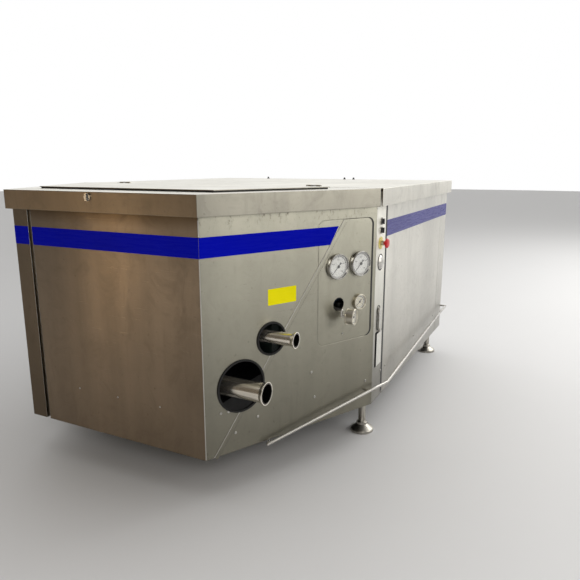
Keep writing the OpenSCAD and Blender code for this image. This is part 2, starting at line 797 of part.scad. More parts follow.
module pointer_1() {
  color("black") at_gauge(1) gauge_pointer(gauge_d, gauge_depth);
}
module pointer_2() {
  color("black") at_gauge(2) gauge_pointer(gauge_d, gauge_depth);
}
module pointer_3() {
  color("black") at_gauge(3) gauge_pointer(gauge_s, gauge_3_depth);
}
module pointer_4() {
  color("black") at_gauge(4) gauge_pointer(gauge_s, gauge_4_depth);
}
module gauge_tube() {
  color("goldenrod") {
    on_nose(port_t, tube_z) {
      rod([-90, 0, 0], [tube_out, 0, 0], tube_r);
      translate([tube_out, 0, 0]) sphere(r = tube_r * ball);
      rod([tube_out, 0, -tube_drop], [tube_out, 0, 0], tube_r);
      translate([tube_out, 0, -tube_drop]) sphere(r = tube_r * ball);
    }
    on_nose(port_t, tube_z - tube_drop) translate([tube_out, 0, 0]) rotate([0, 0, taper]) out_x() {
      cylinder(r = tube_r, h = tube_r + 18);
      translate([0, 0, tube_r + 6]) cylinder(r = tube_r + 4, h = 12, $fn = 6);
    }
  }
}

// Control column

estop_body_h = 16;
estop_body_r = 11;
estop_stem_r = 8;
knob_r = 12;
knob_shaft_r = 5;
bezel_r = 17;
bezel_h = 4;
module estop_collar() {
  color("gold") on_column(column_y, estop_z) out_x() difference() {
    union() {
      cylinder(r = estop_d / 2 + 6.5, h = 2.5);
      translate([0, 0, -40]) cylinder(r = estop_body_r, h = estop_body_h + 40);
    }
    translate([0, 0, -30]) cylinder(r = estop_stem_r + run_gap, h = 60);
  }
}
module estop_button() {
  color("red") on_column(column_y, estop_z) out_x() {
    translate([0, 0, -20]) cylinder(r = estop_stem_r, h = estop_body_h + 28);
    translate([0, 0, estop_body_h + estop_travel + 1]) rotate_extrude()
      polygon([[0, 0], [estop_d / 2 - 5, 0], [estop_d / 2, 4], [estop_d / 2, 9], [estop_d / 2 - 5, 14],
        [0, 16]]);
  }
}
module switch_bodies() {
  color("black") for (z = [switch_1_z, switch_2_z]) on_column(column_y, z) out_x() difference() {
    union() {
      cylinder(r = bezel_r, h = bezel_h);
      translate([0, 0, -35]) cylinder(r = estop_body_r, h = 35);
    }
    translate([0, 0, -20]) cylinder(r = knob_shaft_r + run_gap, h = 40);
  }
}
module selector(z) {
  on_column(column_y, z) out_x() {
    translate([0, 0, -15]) cylinder(r = knob_shaft_r, h = bezel_h + 16);
    translate([0, 0, bezel_h + move_gap]) {
      cylinder(r = knob_r, h = 5);
      translate([-knob_r, -4, 0]) cube([2 * knob_r, 8, 11]);
    }
  }
}
module selector_upper() {
  color("dimgray") selector(switch_1_z);
}
module selector_lower() {
  color("dimgray") selector(switch_2_z);
}
module domed_cap() {
  h = 14;
  r = (cap_d * cap_d / 4 + h * h) / (2 * h);
  color("silver") on_column(column_y + 5, cap_z) out_x() {
    intersection() {
      translate([0, 0, h - r]) sphere(r = r);
      cylinder(r = cap_d / 2 + 1, h = h + 1);
    }
  }
}
paddle_r = 16;
module paddle_latch() {
  tip = 10;
  grip = paddle_l - tip;
  color("silver") on_column(column_y, paddle_z) out_x() {
    translate([0, 0, -25]) cylinder(r = 6, h = 30);
    translate([0, 0, move_gap]) cylinder(r = paddle_r, h = 8);
    translate([0, 0, 4]) linear_extrude(height = 6) {
      circle(r = paddle_r - 3);
      polygon([[0, 3 - paddle_r], [grip, -tip], [grip, tip], [0, paddle_r - 3]]);
      translate([grip, 0]) circle(r = tip);
    }
    translate([grip, 0, 8]) cylinder(r = tip - 1, h = 6);
  }
}
slot_wall = 5;
slot_floor = 2;
module slot_recess() {
  color("black") on_column(slot_y, slot_z) translate([-sheet - slot_d, 0, 0]) difference() {
    translate([0, -slot_wall, -slot_wall])
      cube([slot_d, slot_w + 2 * slot_wall, slot_h + 2 * slot_wall]);
    translate([slot_floor, 0, 0]) cube([slot_d, slot_w, slot_h]);
  }
}
module slot_bar() {
  bar_t = 8;
  proud = 1;
  bar_gap = 1.5;
  back = slot_floor - sheet - slot_d;
  color("white") on_column(slot_y + slot_w - bar_gap - slot_bar_w, slot_z + bar_gap) {
    translate([proud - bar_t, 0, 0]) cube([bar_t, slot_bar_w, slot_bar_h]);
    for (z = [20, slot_bar_h - 32])
      translate([back, slot_bar_w / 2 - 6, z]) cube([proud - bar_t - back, 12, 12]);
  }
}

// Hinges: fixed knuckles with their pins; the lids carry the others

module front_knuckle(x, len) {
  translate([x - len / 2, hinge_y, hinge_z]) out_x() difference() {
    cylinder(r = knuckle_r, h = len);
    translate([0, 0, -1]) cylinder(r = hinge_pin_r + run_gap, h = len + 2);
  }
}
module side_knuckle(y, len) {
  translate([-side_hinge_x, y + len / 2, side_hinge_z]) rotate([90, 0, 0]) difference() {
    cylinder(r = knuckle_r, h = len);
    translate([0, 0, -1]) cylinder(r = hinge_pin_r + run_gap, h = len + 2);
  }
}
module hinge_brackets() {
  pin_l = 3 * knuckle_l;
  x1 = body_w / 2;
  color("silver") from_front() {
    both_sides() {
      translate([hinge_x - knuckle_l / 2, hinge_y, hinge_z]) out_x() cylinder(r = knuckle_r, h = knuckle_l);
      translate([hinge_x - pin_l / 2, hinge_y, hinge_z]) out_x() cylinder(r = hinge_pin_r, h = pin_l);
      translate([hinge_x - knuckle_l / 2, hinge_y - leaf_t, top_rail_z + top_rail_h])
        cube([knuckle_l, 2 * leaf_t, hinge_z - top_rail_z - top_rail_h]);
    }
    for (y = side_hinge_ys) {
      translate([-side_hinge_x, y + knuckle_l / 2, side_hinge_z]) rotate([90, 0, 0])
        cylinder(r = knuckle_r, h = knuckle_l);
      translate([-side_hinge_x, y + pin_l / 2, side_hinge_z]) rotate([90, 0, 0])
        cylinder(r = hinge_pin_r, h = pin_l);
      translate([-side_hinge_x - leaf_t, y - knuckle_l / 2, side_hinge_z - 18])
        cube([side_hinge_x + leaf_t - x1, knuckle_l, 8]);
      translate([-side_hinge_x - leaf_t, y - knuckle_l / 2, side_hinge_z - 18])
        cube([2 * leaf_t, knuckle_l, 18]);
      translate([-x1 - leaf_t, y - leaf_l / 2, side_hinge_z - 50]) cube([leaf_t, leaf_l, 40]);
    }
  }
}

// Lids

module front_lid() {
  far = front_lid_y;
  d = lid_over;
  in = lid_over - lid_t;
  side = knuckle_l + move_gap;
  color("whitesmoke") from_front() difference() {
    union() {
      difference() {
        upright(nose_outline(d, far), case_h - lid_rim, case_h);
        translate([0, 0, -lid_t])
          upright([[nose_x(in), -in], [nose_x_at(far + 1, in), far + 1], [-nose_x_at(far + 1, in), far + 1],
            [-nose_x(in), -in]], case_h - lid_rim - 1, case_h);
      }
      both_sides() {
        translate([hinge_x - leaf_l / 2, far - leaf_l, case_h]) cube([leaf_l, leaf_l, leaf_t]);
        for (s = [-1, 1]) translate([hinge_x + s * side, 0, 0]) {
          front_knuckle(0, knuckle_l);
          translate([-knuckle_l / 2, far - 20, case_h])
            cube([knuckle_l, hinge_y - knuckle_r - far + 22, leaf_t]);
        }
      }
    }
    translate([latch_x, 0, case_h - 20]) rotate([90, 0, 0]) cylinder(r = 5 + run_gap, h = 2 * lid_over);
  }
}
hatch_rim = 5;
module hatch_shape(d) {
  hatch_end = hatch_y + hatch_l;
  polygon([[nose_x_at(hatch_y + d, -hatch_in - d), hatch_y + d],
    [nose_x_at(hatch_end - d, -hatch_in - d), hatch_end - d],
    [-nose_x_at(hatch_end - d, -hatch_in - d), hatch_end - d],
    [-nose_x_at(hatch_y + d, -hatch_in - d), hatch_y + d]]);
}
module hatch_seal() {
  color("black") from_front() translate([0, 0, case_h]) linear_extrude(height = hatch_seal_h) difference() {
    hatch_shape(hatch_rim);
    hatch_shape(hatch_rim + seal_w);
  }
}
module top_hatch() {
  color("whitesmoke") from_front() translate([0, 0, case_h + hatch_seal_h]) linear_extrude(height = lid_t)
    hatch_shape(0);
}
module rear_lid() {
  w = body_w / 2 + lid_over;
  color("whitesmoke") from_front() difference() {
    union() {
      difference() {
        translate([-w, rear_lid_y, case_h - lid_rim]) cube([2 * w, case_l + lid_over - rear_lid_y, lid_rim]);
        translate([-w + lid_t, rear_lid_y - 1, case_h - lid_rim - 1])
          cube([2 * w - 2 * lid_t, case_l + lid_over - rear_lid_y - lid_t + 1, lid_rim - lid_t + 1]);
      }
      for (y = side_hinge_ys) {
        translate([-w - leaf_t, y - leaf_l * 0.7, side_hinge_z + 10]) cube([leaf_t, leaf_l * 1.4, leaf_l]);
        for (s = [-1, 1]) translate([0, y + s * (knuckle_l + move_gap), 0]) {
          side_knuckle(0, knuckle_l);
          translate([-w - leaf_t - knuckle_r / 2, -knuckle_l / 2, side_hinge_z + knuckle_r - 2.5])
            cube([leaf_t + knuckle_r / 2, knuckle_l, 8]);
        }
      }
    }
    translate([rear_latch_x, case_l, case_h - 20]) along_y(0) cylinder(r = 5 + run_gap, h = 2 * lid_over);
  }
}
// Quarter-turn latch along +X: knob outside the rim, cam inside it
module latch() {
  cylinder(r = 5, h = lid_t + 2);
  translate([0, 0, lid_t + move_gap]) {
    cylinder(r = latch_d / 2, h = 5);
    translate([-latch_d / 2 + 2, -4, 0]) cube([latch_d - 4, 8, 12]);
  }
  translate([0, 0, -4]) {
    cylinder(r = 9, h = 4 - move_gap);
    translate([-7, -7, 0]) cube([32, 14, 4 - move_gap]);
  }
  translate([0, 0, -1]) cylinder(r = 5, h = 2);
}
module front_lid_latch() {
  color("silver") from_front() translate([latch_x, -lid_over + lid_t, case_h - 20])
    rotate([90, 0, 0]) rotate([0, 0, -90]) latch();
}
module rear_lid_latch() {
  color("silver") from_front() translate([rear_latch_x, case_l + lid_over - lid_t, case_h - 20])
    along_y(0) rotate([0, 0, 90]) latch();
}

// Pump

plunger_xs = [-plunger_gap, 0, plunger_gap];
module along_y(y) {
  translate([0, y, 0]) rotate([-90, 0, 0]) children();
}
module pump_block() {
  color("silver") from_front() difference() {
    translate([-pump_w / 2, pump_y, pump_z]) cube([pump_w, pump_l, pump_h]);
    for (x = plunger_xs) translate([x, 0, plunger_z]) along_y(pump_rear - 190)
      cylinder(r = plunger_r + 3, h = 191);
    translate([0, 0, inlet_z]) along_y(pump_y - 1) cylinder(r = inlet_d / 2 - inlet_wall, h = 60);
    for (s = [-1, 1]) translate([s * pump_w / 2, pump_y - 1, pump_z + pump_h]) rotate([0, 45, 0])
      translate([-10, 0, -10]) cube([20, pump_l + 2, 20]);
  }
}
cap_r = 42;
module valve_cap() {
  cylinder(r = cap_r + 6, h = 14);
  translate([0, 0, 14]) cylinder(r = cap_r, h = 18, $fn = 6);
}
module distance_piece() {
  cheek_x = pump_w / 2 - 40;
  color("dimgray") from_front() difference() {
    union() {
      translate([-base_x - base_w / 2, pump_y, base_top])
        cube([2 * base_x + base_w, crank_y - pump_y, steel_plate]);
      translate([-cheek_x - 30, pump_y + 20, base_top])
        cube([2 * cheek_x + 60, pump_l - 40, pump_z - base_top]);
      both_sides() translate([cheek_x, pump_rear, base_top])
        cube([30, crank_y - pump_rear, pump_z + pump_h - 60 - base_top]);
    }
    translate([-cheek_x, pump_y - 1, base_top + steel_plate])
      cube([2 * cheek_x, pump_l + 2, pump_z - base_top - 2 * steel_plate]);
    translate([-pump_w, (pump_rear + crank_y) / 2, plunger_z]) out_x() cylinder(r = 75, h = 2 * pump_w);
  }
}
module gland() {
  difference() {
    union() {
      cylinder(r = plunger_r + 25, h = 12);
      cylinder(r = plunger_r + 15, h = gland_l);
    }
    translate([0, 0, -1]) cylinder(r = plunger_r + run_gap, h = gland_l + 2);
  }
}
// Valve caps on top and in front, plunger glands behind
module pump_fittings() {
  color("silver") from_front() for (x = plunger_xs) {
    translate([x, pump_y + pump_l / 2, pump_z + pump_h]) valve_cap();
    translate([x, pump_y, plunger_z]) rotate([90, 0, 0]) valve_cap();
    translate([x, 0, plunger_z]) along_y(pump_rear) gland();
  }
}
module plunger(x) {
  tip = pump_rear - 110;
  back = crank_y + 70;
  from_front() translate([x, 0, plunger_z]) {
    along_y(tip) cylinder(r = plunger_r, h = back - tip);
    along_y(crank_y - 90) cylinder(r = plunger_r + 9, h = 30, $fn = 6);
  }
}
module plunger_1() {
  color("white") plunger(plunger_xs[0]);
}
module plunger_2() {
  color("white") plunger(plunger_xs[1]);
}
module plunger_3() {
  color("white") plunger(plunger_xs[2]);
}
module homogenizing_head() {
  color("silver") from_front() {
    difference() {
      translate([head_x, head_y, head_z]) cube([head_w, pump_y - head_y, head_h]);
      translate([head_x + head_w / 2, outlet_y, outlet_z]) out_x()
        cylinder(r = outlet_d / 2 - outlet_wall - port_step, h = head_w);
    }
    translate([head_x + head_w / 2, outlet_y, head_z + head_h]) {
      cylinder(r = 56, h = 14);
      cylinder(r = 44, h = 40);
    }
    translate([head_x + head_w / 2, head_y, outlet_z]) rotate([90, 0, 0]) {
      cylinder(r = 56, h = 14);
      cylinder(r = 44, h = 40);
    }
  }
}
module actuator() {
  cylinder(r = 50, h = 12);
  translate([0, 0, 12]) cylinder(r = 40, h = 66);
  translate([0, 0, 78]) cylinder(r = 50, h = 14);
  translate([0, 0, 92]) cylinder(r = 12, h = 14, $fn = 6);
}
module head_actuators() {
  color("gray") from_front() {
    translate([head_x + head_w / 2, outlet_y, head_z + head_h + 40]) actuator();
    translate([head_x + head_w / 2, head_y - 40, outlet_z]) rotate([90, 0, 0]) actuator();
  }
}

// Drive

module crankcase() {
  c = 60;
  h = crank_h;
  boss_r = 115;
  color("seagreen") from_front() difference() {
    union() {
      translate([-crank_w / 2, 0, 0]) rotate([90, 0, 90]) linear_extrude(height = crank_w)
        polygon([[crank_y, crank_z], [crank_y + crank_l, crank_z], [crank_y + crank_l, crank_z + h - 2 * c],
          [crank_y + crank_l - 2 * c, crank_z + h], [crank_y + c, crank_z + h], [crank_y, crank_z + h - c]]);
      translate([-base_x - base_w / 2, crank_y, crank_z]) cube([2 * base_x + base_w, crank_l, 26]);
      translate([-crank_w / 2 - 30, shaft_y, shaft_z]) out_x() cylinder(r = boss_r, h = crank_w + 60);
      for (s = [-1, 1], k = [-1, 1]) translate([s * crank_w / 2 - 12, shaft_y + k * 190 - 9, crank_z])
        cube([24, 18, h - 2 * c]);
    }
    translate([-crank_w, shaft_y, shaft_z]) out_x()
      cylinder(r = shaft_r + run_gap, h = crank_w - crank_w / 2 + 60);
    for (x = plunger_xs) translate([x, 0, plunger_z]) along_y(crank_y - 1)
      cylinder(r = plunger_r + run_gap, h = 73);
  }
}
module crankcase_cover() {
  w = crank_w - 200;
  l = crank_l - 240;
  color("seagreen") from_front() translate([-w / 2, crank_y + 80, crank_z + crank_h]) {
    cube([w, l, 14]);
    translate([w / 2, l / 2, 14]) {
      cylinder(r = 30, h = 16);
      translate([0, 0, 16]) cylinder(r = 40, h = 26);
    }
    for (x = [20, w - 20], y = [20, l / 2, l - 20]) translate([x, y, 14]) cylinder(r = 10, h = 8, $fn = 6);
  }
}
function groove_z(k) = (k + 0.5) * belt_pitch + 5;
module pulley(r) {
  difference() {
    cylinder(r = r, h = pulley_w);
    for (k = [0 : belt_count - 1]) translate([0, 0, groove_z(k)]) rotate_extrude()
      polygon([[r - groove_d, -belt_w / 2 - move_gap], [r + 1, -belt_w / 2 - 3], [r + 1, belt_w / 2 + 3],
        [r - groove_d, belt_w / 2 + move_gap]]);
  }
}
module drive_pulley() {
  web = 26;
  color("gray") from_front() translate([-pulley_x - pulley_w, shaft_y, shaft_z]) out_x() {
    difference() {
      pulley(pulley_r);
      for (z = [-1, pulley_w / 2 + web / 2]) translate([0, 0, z])
        ring(pulley_r - 40, 80, pulley_w / 2 - web / 2 + 1);
      for (a = [0 : 60 : 300]) rotate([0, 0, a]) translate([(pulley_r + 40) / 2, 0, -1])
        cylinder(r = 42, h = pulley_w + 2);
    }
    cylinder(r = shaft_r, h = pulley_x + pulley_w - crank_w / 2 + 25);
  }
}
module motor_pulley() {
  shaft_in = 40;
  color("gray") from_front() translate([-pulley_x - pulley_w, motor_y, motor_z]) out_x() {
    pulley(motor_pulley_r);
    cylinder(r = motor_shaft_r, h = pulley_x + pulley_w - motor_l / 2 + shaft_in);
  }
}
// Belt loop round two circles in the (y, z) plane
belt_sink = 0.3;
function polar(r, a) = [r * cos(a), r * sin(a)];
module loop(r1, r2) {
  dy = motor_y - shaft_y;
  dz = motor_z - shaft_z;
  a = atan2(dz, dy);
  b = acos((r1 - r2) / sqrt(dy * dy + dz * dz));
  circle(r = r1);
  translate([dy, dz]) circle(r = r2);
  polygon([polar(r1 - belt_sink, a + b), [dy, dz] + polar(r2 - belt_sink, a + b),
    [dy, dz] + polar(r2 - belt_sink, a - b), polar(r1 - belt_sink, a - b)]);
}
module v_belts() {
  floor1 = pulley_r - groove_d + move_gap;
  floor2 = motor_pulley_r - groove_d + move_gap;
  thick = groove_d - 1;
  color("black") from_front() for (k = [0 : belt_count - 1])
    translate([-pulley_x - pulley_w + groove_z(k) - belt_w / 2, shaft_y, shaft_z]) rotate([90, 0, 90])
      linear_extrude(height = belt_w) difference() {
        loop(floor1 + thick, floor2 + thick);
        loop(floor1, floor2);
      }
}
fin_n = 36;
module motor_body() {
  foot_w = 90;
  cowl_l = 110;
  color("steelblue") from_front() translate([0, motor_y, motor_z]) difference() {
    union() {
      translate([-motor_l / 2, 0, 0]) out_x() {
        cylinder(r = motor_r + fin_h + 4, h = 24);
        translate([0, 0, 24]) linear_extrude(height = motor_l - 24) {
          circle(r = motor_r);
          for (a = [0 : 360 / fin_n : 359]) rotate(a) translate([motor_r - 4, -2]) square([fin_h + 4, 4]);
        }
        translate([0, 0, motor_l]) cylinder(r = motor_r + fin_h + 2, h = cowl_l);
      }
      for (s = [-1, 1], k = [-1, 1])
        translate([s * motor_l / 3 - foot_w / 2, k * 130 - 45, -motor_rise + steel_plate])
          cube([foot_w, 90, motor_rise - steel_plate - 90]);
      translate([-90, -80, motor_r - 10]) cube([180, 160, fin_h + 70]);
    }
    translate([-motor_l / 2 - 1, 0, 0]) out_x() cylinder(r = motor_shaft_r + run_gap, h = 60);
    for (a = [0 : 30 : 330], r = [60, 110]) translate([motor_l / 2 + cowl_l - 6, 0, 0]) out_x()
      rotate([0, 0, a]) translate([r, 0, 0]) cylinder(r = 12, h = 10);
  }
}
module motor_base() {
  half = base_x + base_w / 2;
  color("dimgray") from_front() {
    translate([-half, motor_y - motor_seat / 2, base_top]) cube([2 * half, motor_seat, steel_plate]);
    both_sides() translate([half - 30, motor_y + motor_seat / 2, base_top]) cube([30, 50, 60]);
    both_sides() translate([half - 15, motor_y + motor_seat / 2 - 30, base_top + 40]) along_y(0)
      cylinder(r = 9, h = 110);
  }
}
module hydraulic_unit() {
  w = 300;
  l = 260;
  h = 190;
  color("lightslategray") from_front() translate([base_x + base_w / 2 + 70, mid_cross_y - l / 2, base_top]) {
    cube([w, l, h]);
    translate([-8, -8, h]) cube([w + 16, l + 16, 12]);
    translate([w / 2, l / 2, h + 12]) {
      cylinder(r = 72, h = 12);
      cylinder(r = 58, h = 170);
      translate([0, 0, 170]) cylinder(r = 62, h = 34);
    }
    translate([40, 50, h + 12]) cylinder(r = 24, h = 26);
    translate([w - 60, 30, h + 12]) cube([36, 100, 50]);
  }
}

base_frame();
upper_frame();
front_panel();
right_nose_panel();
left_nose_panel();
gauge_plate();
control_column();
right_side_panel();
left_side_panel();
rear_panel();
lid_seals();
blue_band();
kick_rail();
inlet_pipe();
outlet_pipe();
hole_trims();
gauge_cases();
gauge_dials();
gauge_lenses();
gauge_tube();
estop_collar();
switch_bodies();
domed_cap();
slot_recess();
slot_bar();
hinge_brackets();
pump_block();
pump_fittings();
distance_piece();
homogenizing_head();
head_actuators();
crankcase();
crankcase_cover();
motor_body();
motor_base();
v_belts();
hydraulic_unit();
front_lid();
top_hatch();
hatch_seal();
front_lid_latch();
rear_lid();
rear_lid_latch();
estop_button();
selector_upper();
selector_lower();
paddle_latch();
pointer_1();
pointer_2();
pointer_3();
pointer_4();
motor_pulley();
drive_pulley();
plunger_1();
plunger_2();
plunger_3();
foot_front_right();
foot_front_left();
foot_rear_right();
foot_rear_left();
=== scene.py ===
"""Finishes and small fittings of a cabinet dairy homogenizer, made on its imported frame.

The file is laid out as a Blender add-on: each operator makes or finishes one group of pieces,
and main() calls them in order.
"""

import math

import bmesh
import bpy
from mathutils import Matrix, Vector


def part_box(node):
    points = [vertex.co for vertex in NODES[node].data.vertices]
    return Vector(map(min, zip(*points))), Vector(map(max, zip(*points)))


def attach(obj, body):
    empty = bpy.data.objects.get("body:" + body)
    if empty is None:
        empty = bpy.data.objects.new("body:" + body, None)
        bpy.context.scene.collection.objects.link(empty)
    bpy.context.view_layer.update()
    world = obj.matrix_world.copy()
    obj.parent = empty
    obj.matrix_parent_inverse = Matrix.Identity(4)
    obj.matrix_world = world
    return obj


bl_info = {
    "name": "Cabinet homogenizer",
    "version": (1, 0, 0),
    "blender": (4, 5, 0),
    "location": "3D View > Sidebar > Homogenizer",
    "description": "Finishes and small fittings of a dairy homogenizer",
    "category": "Object",
}

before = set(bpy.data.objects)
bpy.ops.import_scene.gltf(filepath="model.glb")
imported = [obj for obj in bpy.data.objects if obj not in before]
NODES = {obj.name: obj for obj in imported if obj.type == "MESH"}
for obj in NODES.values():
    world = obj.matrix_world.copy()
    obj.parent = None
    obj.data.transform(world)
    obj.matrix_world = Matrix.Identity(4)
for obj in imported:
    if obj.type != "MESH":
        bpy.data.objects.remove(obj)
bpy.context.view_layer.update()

WHITE = (1, 1, 1)
RIGHT = Vector((1, 0, 0))
AHEAD = Vector((0, -1, 0))
BACK = Vector((0, 1, 0))
UP = Vector((0, 0, 1))


def line_of(node, corner, axis):
    """A coordinate of a node's lowest (0) or highest (1) corner, to a tenth of a millimetre."""
    return round(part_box(node)[corner][axis], 4)


# Lines of the cabinet, in metres
FRONT_Y = line_of("front_panel", 0, 1)
NOSE_X = line_of("front_panel", 1, 0)
SIDE_X = line_of("right_side_panel", 1, 0)
NOSE_LENGTH = line_of("control_column", 0, 1) - FRONT_Y
REAR_LID_TOP = line_of("rear_lid", 1, 2)
TAPER = math.atan2(SIDE_X - NOSE_X, NOSE_LENGTH)
NOSE_OUT = Vector((math.cos(TAPER), -math.sin(TAPER), 0))
NOSE_ALONG = Vector((math.sin(TAPER), math.cos(TAPER), 0))

# Each gauge: its middle along the nose panel and up, its case's width, and how far out its dial sits
PUMP_MARKS = ("0", "100", "200", "300", "400")
OIL_MARKS = ("0", "2", "4", "6")
GAUGES = {
    "gauge_1": {"at": (0.64796, 0.860), "size": 0.110, "face": 0.0075, "marks": PUMP_MARKS},
    "gauge_2": {"at": (0.77796, 0.860), "size": 0.110, "face": 0.0075, "marks": PUMP_MARKS},
    "gauge_3": {"at": (0.77996, 0.689), "size": 0.070, "face": 0.0045, "marks": OIL_MARKS},
    "gauge_4": {"at": (0.65996, 0.6483), "size": 0.070, "face": 0.0525, "marks": OIL_MARKS},
}
# The hanging gauge faces right, from a tube that ends this far out of the panel
HANGING_GAUGE = "gauge_4"
TUBE_OUT = 0.022


def on_nose(t, z, out=0.0):
    """The point at t along the right nose panel from its front corner, at height z."""
    return Vector((NOSE_X, FRONT_Y, z)) + NOSE_ALONG * t + NOSE_OUT * out


def facing(point, out, up=UP):
    """A matrix whose Z points out of a face at that point, with Y up on it."""
    z = out.normalized()
    x = up.cross(z).normalized()
    y = z.cross(x)
    m = Matrix((x, y, z)).transposed().to_4x4()
    m.translation = point
    return m


def gauge_face(name):
    """The middle of a gauge's dial, as a matrix that faces out of it; the hanging one faces sideways."""
    gauge = GAUGES[name]
    if name == HANGING_GAUGE:
        return facing(on_nose(*gauge["at"], out=TUBE_OUT) + RIGHT * gauge["face"], RIGHT)
    return facing(on_nose(*gauge["at"], out=gauge["face"]), NOSE_OUT)


# Settings


class CabinetLooks(bpy.types.PropertyGroup):
    """Colours and wear of the cabinet."""

    steel: bpy.props.FloatVectorProperty(
        name="Steel", description="Colour of the sheet steel", subtype="COLOR", size=3, min=0, max=1,
        default=(0.74, 0.72, 0.655),
    )
    # The front's sheet is the same steel as the rest; this colour paints it darker and browner, as a painted
    # shade and a warm painted reflection
    shaded_front_steel: bpy.props.FloatVectorProperty(
        name="Warm steel", description="Colour of the front's sheet steel, browner than the rest",
        subtype="COLOR", size=3, min=0, max=1, default=(0.26, 0.205, 0.15),
    )
    grain: bpy.props.FloatProperty(
        name="Grain", description="Depth of the brushed grain", subtype="FACTOR", min=0, max=1, default=0.16,
    )
    smudge: bpy.props.FloatProperty(
        name="Smudges", description="How much hand marks and dried drops dull the steel", subtype="FACTOR",
        min=0, max=1, default=0.6,
    )
    band: bpy.props.FloatVectorProperty(
        name="Band", description="Colour of the foil band", subtype="COLOR", size=3, min=0, max=1,
        default=(0.001, 0.004, 0.42),
    )


class FittingLooks(bpy.types.PropertyGroup):
    """Colours and sizes of the small fittings."""

    stop_red: bpy.props.FloatVectorProperty(
        name="Stop button", description="Colour of the stop button", subtype="COLOR", size=3, min=0, max=1,
        default=(0.62, 0.012, 0.02),
    )
    collar_yellow: bpy.props.FloatVectorProperty(
        name="Stop collar", description="Colour of the stop button's collar", subtype="COLOR", size=3,
        min=0, max=1, default=(0.80, 0.70, 0.16),
    )
    plate_yellow: bpy.props.FloatVectorProperty(
        name="Blank plate", description="Colour of the blank plate", subtype="COLOR", size=3, min=0, max=1,
        default=(0.93, 0.84, 0.006),
    )
    screw_size: bpy.props.FloatProperty(
        name="Screw head", description="Width of a panel screw's head", unit="LENGTH", min=0.006, max=0.016,
        default=0.011,
    )


class StageLooks(bpy.types.PropertyGroup):
    """Floor, light and camera."""

    floor: bpy.props.FloatVectorProperty(
        name="Floor", description="Colour of the floor", subtype="COLOR", size=3, min=0, max=1,
        default=(0.68, 0.68, 0.69),
    )
    side_light: bpy.props.FloatProperty(
        name="Side light", description="Power of the soft light at the right",
        unit="POWER", min=0, max=1000, default=48,
    )
    top_light: bpy.props.FloatProperty(
        name="Top light", description="Power of the soft light overhead",
        unit="POWER", min=0, max=1000, default=20,
    )
    front_light: bpy.props.FloatProperty(
        name="Front light", description="Power of the soft light beside the camera",
        unit="POWER", min=0, max=1000, default=55,
    )
    lamp_light: bpy.props.FloatProperty(
        name="Warm lamp", description="Power of the tall warm lamp at the front left",
        unit="POWER", min=0, max=200, default=2.5,
    )
    corner_light: bpy.props.FloatProperty(
        name="Corner lamp", description="Power of the wide lamp beside the warm one",
        unit="POWER", min=0, max=200, default=0.8,
    )
    back_light: bpy.props.FloatProperty(
        name="Back light", description="Power of the soft light over the floor behind",
        unit="POWER", min=0, max=1000, default=160,
    )
    lens: bpy.props.FloatProperty(
        name="Lens", description="Focal length in millimetres on a 36 mm sensor", min=10, max=200,
        default=34.845,
    )


# Materials

# Sockets of a Mix node for colours: factor and two colours in, one colour out
MIX_FACTOR = 0
MIX_FIRST = 6
MIX_SECOND = 7
MIX_RESULT = 2


